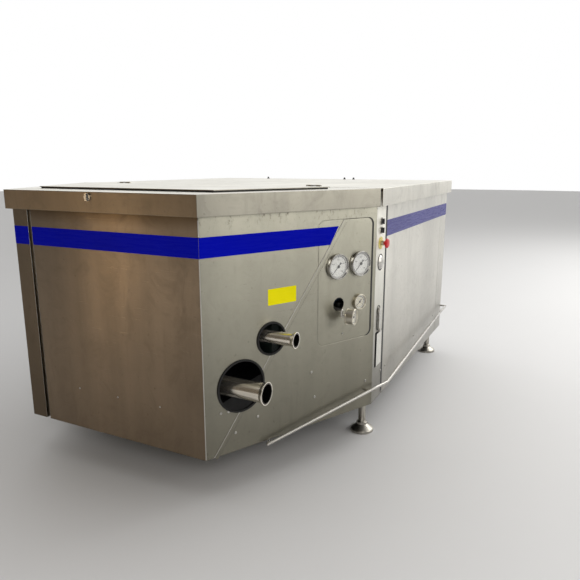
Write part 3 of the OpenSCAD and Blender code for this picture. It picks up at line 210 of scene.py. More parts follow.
class Finish:
    """A node material under construction."""

    def __init__(self, name, **sockets):
        self.material = bpy.data.materials.new(name)
        self.material.use_nodes = True
        self.tree = self.material.node_tree
        self.shader = self.tree.nodes["Principled BSDF"]
        place = self.node("ShaderNodeTexCoord")
        self.coords = place.outputs["Object"]
        self.normal = place.outputs["Normal"]
        for socket, value in sockets.items():
            self.shader.inputs[socket.replace("_", " ")].default_value = value

    def node(self, kind, **settings):
        """A new node with settings."""
        made = self.tree.nodes.new(kind)
        for key, value in settings.items():
            setattr(made, key, value)
        return made

    def link(self, source, target):
        """Joins an output socket to an input socket."""
        self.tree.links.new(source, target)

    def axes(self, source):
        """The X, Y and Z of a vector socket, by name."""
        made = self.node("ShaderNodeSeparateXYZ")
        self.link(source, made.inputs["Vector"])
        return made.outputs

    def noise(self, scale, detail=4.0, roughness=0.55, stretch=(1, 1, 1), distortion=0.0):
        """A noise over the object's coordinates, denser along an axis by its stretch."""
        place = self.node("ShaderNodeMapping")
        place.inputs["Scale"].default_value = stretch
        noise = self.node("ShaderNodeTexNoise")
        noise.inputs["Scale"].default_value = scale
        noise.inputs["Detail"].default_value = detail
        noise.inputs["Roughness"].default_value = roughness
        noise.inputs["Distortion"].default_value = distortion
        self.link(self.coords, place.inputs["Vector"])
        self.link(place.outputs["Vector"], noise.inputs["Vector"])
        return noise.outputs["Fac"]

    def spread(self, source, low, high, start=0.3, end=0.7):
        """A value from low to high as the source goes from start to end."""
        made = self.node("ShaderNodeMapRange")
        made.inputs["From Min"].default_value = start
        made.inputs["From Max"].default_value = end
        made.inputs["To Min"].default_value = low
        made.inputs["To Max"].default_value = high
        self.link(source, made.inputs["Value"])
        return made.outputs["Result"]

    def join(self, one, two, how="ADD"):
        """One value of two, by a math operation."""
        made = self.node("ShaderNodeMath", operation=how)
        self.link(one, made.inputs[0])
        self.link(two, made.inputs[1])
        return made.outputs["Value"]

    def tint(self, source, low, high):
        """A colour between low and high, by the source from 0 to 1."""
        made = self.node("ShaderNodeMix", data_type="RGBA")
        made.inputs[MIX_FIRST].default_value = (*low, 1)
        made.inputs[MIX_SECOND].default_value = (*high, 1)
        self.link(source, made.inputs[MIX_FACTOR])
        return made.outputs[MIX_RESULT]

    def vary(self, noise, low, high):
        """A colour between low and high that follows a noise."""
        return self.tint(self.spread(noise, 0, 1), low, high)

    def mix(self, source, low, high):
        """A colour between two colour sockets, by the source from 0 to 1."""
        made = self.node("ShaderNodeMix", data_type="RGBA")
        self.link(source, made.inputs[MIX_FACTOR])
        self.link(low, made.inputs[MIX_FIRST])
        self.link(high, made.inputs[MIX_SECOND])
        return made.outputs[MIX_RESULT]

    def times(self, one, two):
        """The product of two colour sockets."""
        made = self.node("ShaderNodeMix", data_type="RGBA", blend_type="MULTIPLY")
        made.inputs[MIX_FACTOR].default_value = 1
        self.link(one, made.inputs[MIX_FIRST])
        self.link(two, made.inputs[MIX_SECOND])
        return made.outputs[MIX_RESULT]

    def bump(self, height, strength, distance, edge=0.0):
        """A relief of a height socket, on normals rounded at the edges by a radius."""
        made = self.node("ShaderNodeBump")
        if edge:
            fold = self.node("ShaderNodeBevel", samples=6)
            fold.inputs["Radius"].default_value = edge
            self.link(fold.outputs["Normal"], made.inputs["Normal"])
        made.inputs["Strength"].default_value = strength
        made.inputs["Distance"].default_value = distance
        self.link(height, made.inputs["Height"])
        self.link(made.outputs["Normal"], self.shader.inputs["Normal"])

    def paint(self, colour=None, roughness=None):
        """Links colour and roughness, and gives the finished material."""
        if colour is not None:
            self.link(colour, self.shader.inputs["Base Color"])
        if roughness is not None:
            self.link(roughness, self.shader.inputs["Roughness"])
        return self.material


def shade(colour, factor):
    """A colour made darker or lighter by a factor."""
    return tuple(min(1.0, c * factor) for c in colour)


def sheet_steel(name, colour, grain, smooth=0.25, rough=0.38, low=0.6, ramp=(0.22, 0.92), under_lid_shade=1.0,
                front=None, sway=0.07, metal=1.0, brushed=0.75, grime=0.0):
    """Brushed sheet with clouding, hand marks, runs, dried drops and upright bands of painted reflection
    streaks.

    low is a painted shade that darkens the foot, and fades over the heights of ramp. under_lid_shade darkens
    the top edge as a painted shadow under the lid, and grime speckles it. front is a painted shade and warm
    painted reflection on faces turned ahead; faces turned half ahead get a painted shade too. sway is the
    strength of the painted streaks.
    """
    looks = bpy.context.scene.cabinet_looks
    finish = Finish(name, Metallic=metal, Anisotropic=brushed, Anisotropic_Rotation=0.25)
    way = finish.node("ShaderNodeTangent", direction_type="RADIAL", axis="Z")
    finish.link(way.outputs["Tangent"], finish.shader.inputs["Tangent"])
    lines = finish.noise(1.0, detail=5, roughness=0.7, stretch=grain)
    cloud = finish.noise(2.3, detail=5, roughness=0.6, distortion=0.6)
    marks = finish.noise(7.0, detail=8, roughness=0.72, distortion=1.4)
    runs = finish.noise(1.0, detail=6, roughness=0.7, stretch=(26, 26, 2.2), distortion=0.3)
    drops = finish.noise(48.0, detail=2, roughness=0.4)
    bands = finish.noise(1.0, detail=3, roughness=0.6, stretch=(6, 6, 0.4), distortion=0.2)
    height = finish.axes(finish.coords)["Z"]

    worn = finish.spread(marks, 0.0, looks.smudge, 0.48, 0.72)
    ran = finish.spread(runs, 0.0, looks.smudge * 0.7, 0.54, 0.76)
    spots = finish.spread(drops, 0.0, 0.6, 0.70, 0.76)
    dull = finish.join(finish.join(worn, ran, "MAXIMUM"), spots, "MAXIMUM")
    clean = finish.vary(cloud, shade(colour, 0.90), shade(colour, 1.06))
    dirty = finish.vary(lines, shade(colour, 0.64), shade(colour, 0.76))
    tone = finish.mix(dull, clean, dirty)
    # Painted reflection streaks: upright bands, lighter and darker by sway
    tone = finish.times(tone, finish.vary(bands, (1 - sway,) * 3, (1 + sway,) * 3))

    # Painted shade: the sheet is darker towards its foot, by low, fading out over the heights of ramp, with a
    # ragged edge
    ragged = finish.join(height, finish.spread(marks, -0.1, 0.1))
    foot = (low, low * 0.98, low * 0.95)
    tone = finish.times(tone, finish.tint(finish.spread(ragged, 0, 1, *ramp), foot, WHITE))
    # Painted shadow under the lid's rim: a setting under 1 darkens the top edge
    if under_lid_shade < 1:
        under_lid_tint = (under_lid_shade, under_lid_shade * 0.88, under_lid_shade * 0.72)
        tone = finish.times(tone, finish.tint(finish.spread(height, 0, 1, 1.05, 1.1), WHITE, under_lid_tint))
    if grime:
        grit = finish.noise(1.0, detail=6, roughness=0.75, stretch=(60, 60, 30))
        specks = finish.spread(grit, 0, 1, 0.55, 0.68)
        near = finish.spread(height, 0, grime, 1.03, 1.11)
        crust = finish.vary(marks, (0.05, 0.04, 0.03), (0.12, 0.10, 0.08))
        tone = finish.mix(finish.join(specks, near, "MULTIPLY"), tone, crust)
    # Painted shade and reflection by facing: faces turned half ahead are darker, and faces turned ahead take
    # the front tint, a painted shade with a warm painted reflection
    if front is not None:
        turn = finish.axes(finish.normal)["Y"]
        slanted_shade = finish.spread(turn, 1, 0, -0.4, -0.1)
        straight = finish.spread(turn, 1, 0, -0.95, -0.7)
        tone = finish.times(tone, finish.tint(slanted_shade, WHITE, (0.52, 0.51, 0.48)))
        tone = finish.times(tone, finish.tint(straight, WHITE, shade(front, 2.0)))

    brushing = finish.spread(lines, smooth, rough, 0.25, 0.75)
    gloss = finish.join(brushing, finish.spread(dull, 0.0, 0.14, 0.0, 0.8))
    finish.bump(lines, looks.grain, 0.0006, edge=0.004)
    return finish.paint(tone, gloss)


def bright_steel(name, tone, smooth, rough):
    """Polished steel with fine scratches and a few dull patches."""
    finish = Finish(name, Metallic=1.0)
    haze = finish.noise(14.0, detail=6, roughness=0.65, distortion=0.4)
    scratch = finish.noise(1.0, detail=3, stretch=(40, 40, 600))
    steel = shade((0.72, 0.70, 0.66), tone)
    finish.bump(scratch, 0.05, 0.0004)
    gloss = finish.join(finish.spread(haze, smooth, rough, 0.35, 0.75), finish.spread(scratch, 0.0, 0.06))
    return finish.paint(finish.vary(haze, shade(steel, 0.86), steel), gloss)


def gauge_steel(name, split):
    """Polished gauge cases; those below the height split are of a paler, yellower and rougher steel."""
    finish = Finish(name, Metallic=1.0)
    haze = finish.noise(14.0, detail=6, roughness=0.65, distortion=0.4)
    small = finish.spread(finish.axes(finish.coords)["Z"], 1, 0, split - 0.002, split + 0.002)
    grey = finish.vary(haze, (0.46, 0.45, 0.43), (0.56, 0.55, 0.52))
    yellow = finish.vary(haze, (0.60, 0.565, 0.48), (0.74, 0.70, 0.60))
    finish.bump(haze, 0.03, 0.0003)
    gloss = finish.join(finish.spread(haze, 0.12, 0.26), finish.spread(small, 0, 0.16))
    return finish.paint(finish.mix(small, grey, yellow), gloss)


def pipe_steel(name, axis, bore):
    """A drawn pipe along X, near black in its bore as a painted shade, and darkened on its ferrule's sealing
    face.
    """
    finish = Finish(name, Metallic=0.95)
    haze = finish.noise(14.0, detail=6, roughness=0.65, distortion=0.4)
    draw = finish.noise(1.0, detail=4, roughness=0.7, stretch=(3, 160, 160))
    flat = finish.node("ShaderNodeMapping")
    flat.inputs["Scale"].default_value = (0, 1, 1)
    finish.link(finish.coords, flat.inputs["Vector"])
    away = finish.node("ShaderNodeVectorMath", operation="DISTANCE")
    away.inputs[1].default_value = (0, *axis)
    finish.link(flat.outputs["Vector"], away.inputs[0])
    reach = away.outputs["Value"]
    # Painted shade: the bore is near black inside; a ring on the ferrule's sealing face round it is darkened
    # too
    inside = finish.spread(reach, 1, 0, bore + 0.0006, bore + 0.001)
    close = finish.spread(reach, 1, 0, bore + 0.0045, bore + 0.0055)
    square = finish.spread(finish.axes(finish.normal)["X"], 0, 1, 0.9, 0.95)
    sealing = finish.join(close, square, "MULTIPLY")
    steel = finish.vary(draw, (0.70, 0.655, 0.57), (1.0, 0.95, 0.85))
    # Near-black colour of the bore's painted shade and of the darkened ring on the sealing face
    stain = finish.vary(haze, (0.03, 0.027, 0.024), (0.10, 0.09, 0.08))
    tone = finish.mix(finish.join(inside, sealing, "MAXIMUM"), steel, stain)
    finish.bump(draw, 0.08, 0.0004)
    return finish.paint(tone, finish.spread(haze, 0.17, 0.28, 0.35, 0.75))


def turned_steel(name, tone):
    """Machined steel, duller than the pipes."""
    finish = Finish(name, Metallic=1.0)
    oil = finish.noise(7.0, detail=6, roughness=0.65, distortion=0.8)
    cut = finish.noise(1.0, detail=3, stretch=(300, 20, 300))
    steel = shade((0.50, 0.49, 0.47), tone)
    gloss = finish.spread(oil, 0.24, 0.46, 0.3, 0.75)
    finish.bump(cut, 0.12, 0.0006)
    return finish.paint(finish.vary(oil, shade(steel, 0.72), steel), gloss)


def cast_paint(name, colour):
    """Enamel on a casting: a pebbled skin, faded patches and bare chips."""
    finish = Finish(name, Specular_IOR_Level=0.45)
    skin = finish.noise(160.0, detail=4, roughness=0.6)
    fade = finish.noise(5.0, detail=5, roughness=0.6, distortion=0.7)
    chip = finish.noise(38.0, detail=6, roughness=0.75)
    whole = finish.vary(fade, shade(colour, 0.8), shade(colour, 1.15))
    bare = finish.vary(skin, (0.10, 0.09, 0.085), (0.22, 0.20, 0.18))
    chipped = finish.spread(chip, 0, 1, 0.735, 0.75)
    finish.bump(skin, 0.25, 0.0008)
    return finish.paint(finish.mix(chipped, whole, bare), finish.spread(fade, 0.32, 0.55))


def rubber(name, colour=(0.018, 0.018, 0.019)):
    """Black rubber with patches of dust."""
    finish = Finish(name, Specular_IOR_Level=0.35)
    dust = finish.noise(24.0, detail=6, roughness=0.7)
    skin = finish.noise(420.0, detail=2)
    tone = finish.tint(finish.spread(dust, 0, 1, 0.4, 0.75), colour, shade(colour, 3.2))
    finish.bump(skin, 0.2, 0.0004)
    return finish.paint(tone, finish.spread(dust, 0.45, 0.72))


def moulding(name, colour, smooth=0.22, rough=0.4, flank_shade=1.0):
    """Moulded plastic with rubbed patches and a fine skin; what doesn't face right gets a painted shade,
    darker by the flank factor.
    """
    finish = Finish(name, Specular_IOR_Level=0.5)
    rub = finish.noise(60.0, detail=6, roughness=0.65)
    skin = finish.noise(700.0, detail=2)
    tone = finish.vary(rub, shade(colour, 0.86), shade(colour, 1.08))
    # Painted shade on faces that don't face right
    if flank_shade < 1:
        square = finish.spread(finish.axes(finish.normal)["X"], 0, 1, 0.5, 0.9)
        tone = finish.times(tone, finish.tint(square, (flank_shade,) * 3, WHITE))
    finish.bump(skin, 0.12, 0.0003)
    return finish.paint(tone, finish.spread(rub, smooth, rough))


def collared_steel(name, colour):
    """A coloured disc on the side panel with a bare steel barrel through it."""
    finish = Finish(name, Specular_IOR_Level=0.5)
    rub = finish.noise(60.0, detail=6, roughness=0.65)
    bare = finish.spread(finish.axes(finish.coords)["X"], 0, 1, SIDE_X + 0.0026, SIDE_X + 0.0028)
    disc = finish.vary(rub, shade(colour, 0.85), shade(colour, 1.1))
    barrel = finish.vary(rub, (0.42, 0.38, 0.30), (0.58, 0.53, 0.44))
    finish.link(bare, finish.shader.inputs["Metallic"])
    finish.bump(rub, 0.05, 0.0003)
    return finish.paint(finish.mix(bare, disc, barrel), finish.spread(rub, 0.2, 0.38))


def foil(name, colour, lit_colour=None):
    """Printed foil, scuffed along its length, and painted a paler colour where it faces straight to the
    right, as painted light.
    """
    finish = Finish(name, Specular_IOR_Level=0.03)
    scuff = finish.noise(1.0, detail=6, roughness=0.7, stretch=(9, 9, 120))
    cloud = finish.noise(4.0, detail=4)
    worn = finish.spread(scuff, 0, 0.35, 0.68, 0.86)
    plain = finish.vary(cloud, shade(colour, 0.92), shade(colour, 1.06))
    scuffed = finish.vary(cloud, shade(colour, 0.7), shade(colour, 0.8))
    tone = finish.mix(worn, plain, scuffed)
    # Painted light: faces turned straight to the right take the paler colour
    if lit_colour is not None:
        square = finish.spread(finish.axes(finish.normal)["X"], 0, 1, 0.93, 0.97)
        tone = finish.mix(square, tone, finish.vary(cloud, shade(lit_colour, 0.92), shade(lit_colour, 1.06)))
    finish.bump(scuff, 0.05, 0.0003)
    return finish.paint(tone, finish.spread(scuff, 0.2, 0.36))


def dial_card(name, colour):
    """Enamelled dial, faintly stained all over."""
    finish = Finish(name, Specular_IOR_Level=0.35)
    stain = finish.noise(45.0, detail=5, roughness=0.6)
    finish.bump(stain, 0.04, 0.0002)
    return finish.paint(finish.vary(stain, shade(colour, 0.94), colour), finish.spread(stain, 0.35, 0.5))


def lens_glass(name):
    """A gauge's window: nearly clear, with wiped dust on it."""
    finish = Finish(name, Base_Color=(0.95, 0.97, 0.98, 1), IOR=1.48, Specular_IOR_Level=0.5)
    dust = finish.noise(70.0, detail=6, roughness=0.7, distortion=0.5)
    finish.link(finish.spread(dust, 0.10, 0.17, 0.4, 0.75), finish.shader.inputs["Alpha"])
    return finish.paint(None, finish.spread(dust, 0.02, 0.10))


def ceramic(name):
    """Ground ceramic of the plungers."""
    finish = Finish(name, Specular_IOR_Level=0.55, Coat_Weight=0.3, Coat_Roughness=0.08)
    lines = finish.noise(1.0, detail=3, stretch=(30, 500, 30))
    tone = finish.vary(lines, (0.74, 0.73, 0.69), (0.82, 0.81, 0.78))
    finish.bump(lines, 0.04, 0.0003)
    return finish.paint(tone, finish.spread(lines, 0.12, 0.2))


def threaded_steel(name, spindle_foot):
    """A foot: bright steel with a rolled thread on its spindle, which starts at a height."""
    finish = Finish(name, Metallic=1.0)
    haze = finish.noise(18.0, detail=6, roughness=0.65)
    turns = finish.node("ShaderNodeTexWave", wave_type="BANDS", bands_direction="Z", wave_profile="TRI")
    turns.inputs["Scale"].default_value = 105.0
    finish.link(finish.coords, turns.inputs["Vector"])
    height = finish.axes(finish.coords)["Z"]
    spindle = finish.spread(height, 0, 1, spindle_foot - 0.001, spindle_foot + 0.001)
    finish.bump(finish.join(turns.outputs["Fac"], spindle, "MULTIPLY"), 0.55, 0.0015)
    tone = finish.vary(haze, (0.30, 0.285, 0.25), (0.48, 0.46, 0.42))
    return finish.paint(tone, finish.spread(haze, 0.22, 0.42))


def give(material, *nodes):
    """Puts a material on CAD nodes."""
    for name in nodes:
        mesh = NODES[name].data
        mesh.materials.clear()
        mesh.materials.append(material)


def new_piece(name, build, material, body):
    """Makes a mesh piece from a bmesh, with its finish, and lets it ride on a body."""
    mesh = bpy.data.meshes.new(name)
    build.normal_update()
    build.to_mesh(mesh)
    build.free()
    mesh.materials.append(material)
    piece = bpy.data.objects.new(name, mesh)
    bpy.context.scene.collection.objects.link(piece)
    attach(piece, body)


# Operators


class HOMOGENIZER_OT_cabinet(bpy.types.Operator):
    """Brushed steel on panels and lids, enamel on the frame, foil on the band, rubber on seals and trims"""

    bl_idname = "homogenizer.cabinet"
    bl_label = "Cabinet"

    def execute(self, context):
        looks = context.scene.cabinet_looks
        steel = looks.steel
        # warm is the front's steel painted darker and browner, a painted shade and warm painted reflection;
        # rim is its ratio to the plain steel, the painted tint of faces turned ahead
        warm = looks.shaded_front_steel
        rim = tuple(w / c for w, c in zip(warm, steel))
        # nose is the same steel painted darker and greener: a painted shade
        nose = (steel[0] * 0.62, steel[1] * 0.62, steel[2] * 0.57)
        brushing = (4, 4, 520)
        # Front panel: painted shade and warm painted reflection in its colour, painted shadow under the lid,
        # a darker foot and painted reflection streaks
        give(sheet_steel("front_sheet", warm, (5, 5, 520), low=0.8, under_lid_shade=0.54, sway=0.13), "front_panel")
        # Left nose panel: a painted shade on its slanted face, and a painted shade and warm painted
        # reflection on faces turned ahead
        give(sheet_steel("left_sheet", steel, brushing, front=shade(rim, 0.75)), "left_nose_panel")
        # Nose panel and gauge plate: painted shade in their colour and a much darker foot, with stains
        # speckled along the top
        give(sheet_steel("nose_sheet", nose, brushing, low=0.45, ramp=(0.25, 1.12), grime=0.9),
             "right_nose_panel", "gauge_plate")
        # Side and rear panels: a painted shade darkens their foot
        give(sheet_steel("side_sheet", steel, brushing, low=0.42, ramp=(0.22, 0.9)),
             "right_side_panel", "left_side_panel", "rear_panel")
        # Control column: the same steel painted lighter, as painted light, with a strong painted shade
        # towards its foot
        give(sheet_steel("column_sheet", shade(steel, 1.3), brushing, smooth=0.34, rough=0.5, low=0.22,
                         ramp=(0.3, 1.02), metal=0.55),
             "control_column")
        # Lids: the steel painted a little lighter, as painted light, with the front tint's painted shade and
        # warm reflection on rims turned ahead
        give(sheet_steel("lid_sheet", shade(steel, 1.06), (4, 4, 380), smooth=0.28, rough=0.44, front=rim,
                         brushed=0),
             "front_lid", "top_hatch", "rear_lid")
        # The frame's near-black colour is its dark enamel, painted darker still as painted shade inside the
        # cabinet
        give(cast_paint("frame_enamel", (0.012, 0.012, 0.013)), "base_frame", "upper_frame")
        give(turned_steel("base_steel", tone=0.9), "motor_base", "hydraulic_unit")
        # The band is painted a paler blue where it faces right: painted light
        give(foil("blue_foil", looks.band, lit_colour=(0.11, 0.11, 0.28)), "blue_band")
        give(rubber("black_rubber"), "lid_seals", "hatch_seal", "v_belts")
        give(rubber("trim_rubber", (0.005, 0.005, 0.005)), "hole_trims")
        give(bright_steel("rail_steel", tone=0.72, smooth=0.2, rough=0.34), "kick_rail")
        return {"FINISHED"}


class HOMOGENIZER_OT_pipework(bpy.types.Operator):
    """Drawn steel on the pipes, turned steel on the pump end and hinges, polish on tube and latches"""

    bl_idname = "homogenizer.pipework"
    bl_label = "Pipework"

    def execute(self, context):
        inlet_axis = (FRONT_Y + 0.139, 0.434)
        outlet_axis = (FRONT_Y + 0.269, 0.616)
        give(pipe_steel("inlet_steel", inlet_axis, bore=0.036), "inlet_pipe")
        give(pipe_steel("outlet_steel", outlet_axis, bore=0.024), "outlet_pipe")
        give(turned_steel("block_steel", tone=1.15),
             "pump_block", "pump_fittings", "homogenizing_head", "head_actuators")
        give(bright_steel("tube_steel", tone=1.2, smooth=0.22, rough=0.36), "gauge_tube")
        give(turned_steel("hinge_steel", tone=1.0), "hinge_brackets")
        give(bright_steel("latch_steel", tone=0.8, smooth=0.1, rough=0.24),
             "front_lid_latch", "rear_lid_latch")
        return {"FINISHED"}


class HOMOGENIZER_OT_drive(bpy.types.Operator):
    """Paint and castings of the drive inside the cabinet"""

    bl_idname = "homogenizer.drive"
    bl_label = "Drive"

    def execute(self, context):
        # The crankcase's green enamel and the distance piece's grey are painted much darker: painted shade
        # inside the cabinet
        give(cast_paint("crankcase_enamel", (0.06, 0.09, 0.078)), "crankcase", "crankcase_cover")
        give(cast_paint("motor_enamel", (0.14, 0.20, 0.30)), "motor_body")
        give(cast_paint("grey_casting", (0.25, 0.25, 0.26)), "motor_pulley", "drive_pulley")
        give(cast_paint("dark_casting", (0.016, 0.016, 0.017)), "distance_piece")
        give(ceramic("plunger_ceramic"), "plunger_1", "plunger_2", "plunger_3")
        return {"FINISHED"}


class HOMOGENIZER_OT_controls(bpy.types.Operator):
    """Gauge cases, dials, windows, switches and the stop button"""

    bl_idname = "homogenizer.controls"
    bl_label = "Controls"

    def execute(self, context):
        looks = context.scene.fitting_looks
        give(bright_steel("bezel_steel", tone=0.7, smooth=0.12, rough=0.26), "switch_bodies")
        give(gauge_steel("gauge_steel", split=0.78), "gauge_cases")
        give(bright_steel("cap_steel", tone=0.8, smooth=0.2, rough=0.34), "domed_cap", "paddle_latch")
        give(dial_card("dial_white", (0.86, 0.86, 0.83)), "gauge_dials")
        give(lens_glass("gauge_window"), "gauge_lenses")
        give(moulding("pointer_black", (0.02, 0.02, 0.02)),
             "pointer_1", "pointer_2", "pointer_3", "pointer_4")
        give(moulding("switch_black", (0.025, 0.025, 0.027)), "selector_upper", "selector_lower")
        give(moulding("recess_black", (0.02, 0.02, 0.021), smooth=0.4, rough=0.6), "slot_recess")
        # The white bar's faces that don't face right are painted almost black: a painted shade
        give(moulding("bar_white", (0.62, 0.61, 0.57), smooth=0.35, rough=0.5, flank_shade=0.04), "slot_bar")
        give(moulding("stop_red", looks.stop_red), "estop_button")
        give(collared_steel("collar_yellow", looks.collar_yellow), "estop_collar")
        return {"FINISHED"}


class HOMOGENIZER_OT_feet(bpy.types.Operator):
    """Bright steel with a rolled thread on the levelling feet"""

    bl_idname = "homogenizer.feet"
    bl_label = "Feet"

    def execute(self, context):
        give(threaded_steel("foot_steel", spindle_foot=0.045),
             "foot_front_right", "foot_front_left", "foot_rear_right", "foot_rear_left")
        return {"FINISHED"}


# A dial's scale runs clockwise from its zero, in degrees
ZERO_ANGLE = 225
SWEEP = 270
# Lines round a dial: how far inside the case's rim they lie, and their widths; the dark ring is a painted
# shadow at the dial's edge
SCALE_INSET = 0.0115
ARC_WIDTH = 0.0009
SHADE_RING_INSET = 0.0104
SHADE_RING_WIDTH = 0.0014
CARD_INSET = 0.0108
# Ticks from figure to figure, with lengths and widths, and the figures, on a case as wide as PRINT_CASE
PRINT_CASE = 0.108
TICKS = 10
LONG_TICK = (0.0075, 0.0017)
HALF_TICK = (0.0055, 0.0008)
SHORT_TICK = (0.0035, 0.0008)
FIGURE_INSET = 0.0135
FIGURE_SIZE = 0.0085
# How far card, print and the pointer's hub stand out from a dial
CARD_LIFT = 0.00015
PRINT_LIFT = 0.0003
HUB_LIFT = 0.0035
HUB_HEIGHT = 0.0022


def ray(angle):
    """The way from a dial's middle at an angle in degrees."""
    turn = math.radians(angle)
    return Vector((math.cos(turn), math.sin(turn), 0))


def add_band(build, radius, width, start, end, place, steps=60):
    """A curved stroke on a dial, between two angles in degrees."""
    edges = (radius - width / 2, radius + width / 2)
    rungs = []
    for i in range(steps + 1):
        way = ray(start + (end - start) * i / steps)
        rungs.append([build.verts.new(place @ (way * edge)) for edge in edges])
    for one, two in zip(rungs, rungs[1:]):
        build.faces.new((one[0], two[0], two[1], one[1]))


def add_stroke(build, inner, outer, width, angle, place):
    """A straight mark on a dial, pointing out from its middle."""
    way = ray(angle)
    aside = Vector((-way.y, way.x, 0)) * (width / 2)
    corners = (way * inner - aside, way * outer - aside, way * outer + aside, way * inner + aside)
    build.faces.new([build.verts.new(place @ corner) for corner in corners])


def add_number(build, words, size, point, place):
    """A number on a dial, upright, with its middle at that point."""
    curve = bpy.data.curves.new("number", "FONT")
    curve.body = words
    curve.size = size
    curve.align_x = "CENTER"
    curve.align_y = "CENTER"
    curve.resolution_u = 3
    sign = bpy.data.objects.new("number", curve)
    bpy.context.scene.collection.objects.link(sign)
    bpy.context.view_layer.update()
    mesh = bpy.data.meshes.new_from_object(sign.evaluated_get(bpy.context.evaluated_depsgraph_get()))
    mesh.transform(place @ Matrix.Translation(point))
    build.from_mesh(mesh)
    bpy.data.objects.remove(sign)
    bpy.data.curves.remove(curve)
    bpy.data.meshes.remove(mesh)


def add_scale(build, gauge, place):
    """Arc, a dark ring at the rim that is a painted shadow, ticks and figures of a dial."""
    share = gauge["size"] / PRINT_CASE
    radius = gauge["size"] / 2 - SCALE_INSET
    gaps = len(gauge["marks"]) - 1
    add_band(build, radius, ARC_WIDTH, ZERO_ANGLE, ZERO_ANGLE - SWEEP, place)
    # A dark ring all round the dial's edge: a painted shadow under the bezel
    add_band(build, gauge["size"] / 2 - SHADE_RING_INSET, SHADE_RING_WIDTH, 270, -90, place)
    for i in range(gaps * TICKS + 1):
        tick = LONG_TICK if i % TICKS == 0 else HALF_TICK if i % (TICKS // 2) == 0 else SHORT_TICK
        length, width = (size * share for size in tick)
        angle = ZERO_ANGLE - SWEEP * i / (gaps * TICKS)
        add_stroke(build, radius - length, radius, width, angle, place)
    for i, words in enumerate(gauge["marks"]):
        point = ray(ZERO_ANGLE - SWEEP * i / gaps) * (radius - FIGURE_INSET * share)
        add_number(build, words, FIGURE_SIZE * share, point, place)


def lifted(place, height):
    """A place moved out along the way it faces."""
    return place @ Matrix.Translation((0, 0, height))


class HOMOGENIZER_OT_dial_prints(bpy.types.Operator):
    """Scale and figures on each gauge's dial, the card of the small ones and the hub of the pointer"""

    bl_idname = "homogenizer.dial_prints"
    bl_label = "Dial prints"

    def execute(self, context):
        ink = moulding("scale_ink", (0.02, 0.02, 0.022), smooth=0.4, rough=0.5)
        cream = dial_card("cream_card", (0.78, 0.73, 0.58))
        for name, gauge in GAUGES.items():
            size = gauge["size"]
            face = gauge_face(name)
            if gauge["marks"] == OIL_MARKS:
                card = bmesh.new()
                bmesh.ops.create_circle(card, cap_ends=True, segments=64, radius=size / 2 - CARD_INSET,
                                        matrix=lifted(face, CARD_LIFT))
                new_piece(name + "_card", card, cream, "machine")
            scale = bmesh.new()
            add_scale(scale, gauge, lifted(face, PRINT_LIFT))
            new_piece(name + "_scale", scale, ink, "machine")
            hub = bmesh.new()
            bmesh.ops.create_cone(hub, cap_ends=True, segments=32, radius1=size * 0.062, radius2=size * 0.055,
                                  depth=HUB_HEIGHT, matrix=lifted(face, HUB_LIFT))
            new_piece(name + "_hub", hub, ink, name.replace("gauge", "pointer"))
        return {"FINISHED"}


def join_rings(build, rings, closed=False):
    """Faces from each ring of vertices to the next, and from the last to the first if closed."""
    for low, high in zip(rings, rings[1:] + (rings[:1] if closed else [])):
        for i in range(len(low)):
            k = (i + 1) % len(low)
            build.faces.new((low[i], low[k], high[k], high[i]))


def add_screw(build, width, place, sides=24):
    """A domed screw head with a hexagon socket."""
    radius = width / 2
    height = radius * 0.55
    key = radius * 0.45
    angles = [2 * math.pi * i / sides for i in range(sides)]
    sixth = math.pi / 3
    socket = [key / math.cos((angle + sixth / 2) % sixth - sixth / 2) for angle in angles]
    rows = [([radius] * sides, 0)]
    for step in (0.25, 0.5, 0.75):
        turn = math.pi / 2 * step
        dome = radius * (0.62 + 0.38 * math.cos(turn))
        rows.append(([max(edge, dome) for edge in socket], height * (0.35 + 0.65 * math.sin(turn))))
    rows.append(([edge * 1.05 for edge in socket], height))
    rows.append((socket, height))
    rows.append((socket, height * 0.25))
    rings = []
    for reaches, z in rows:
        spots = [Vector((r * math.cos(a), r * math.sin(a), z)) for r, a in zip(reaches, angles)]
        rings.append([build.verts.new(place @ spot) for spot in spots])
    join_rings(build, rings)
    build.faces.new(rings[-1])


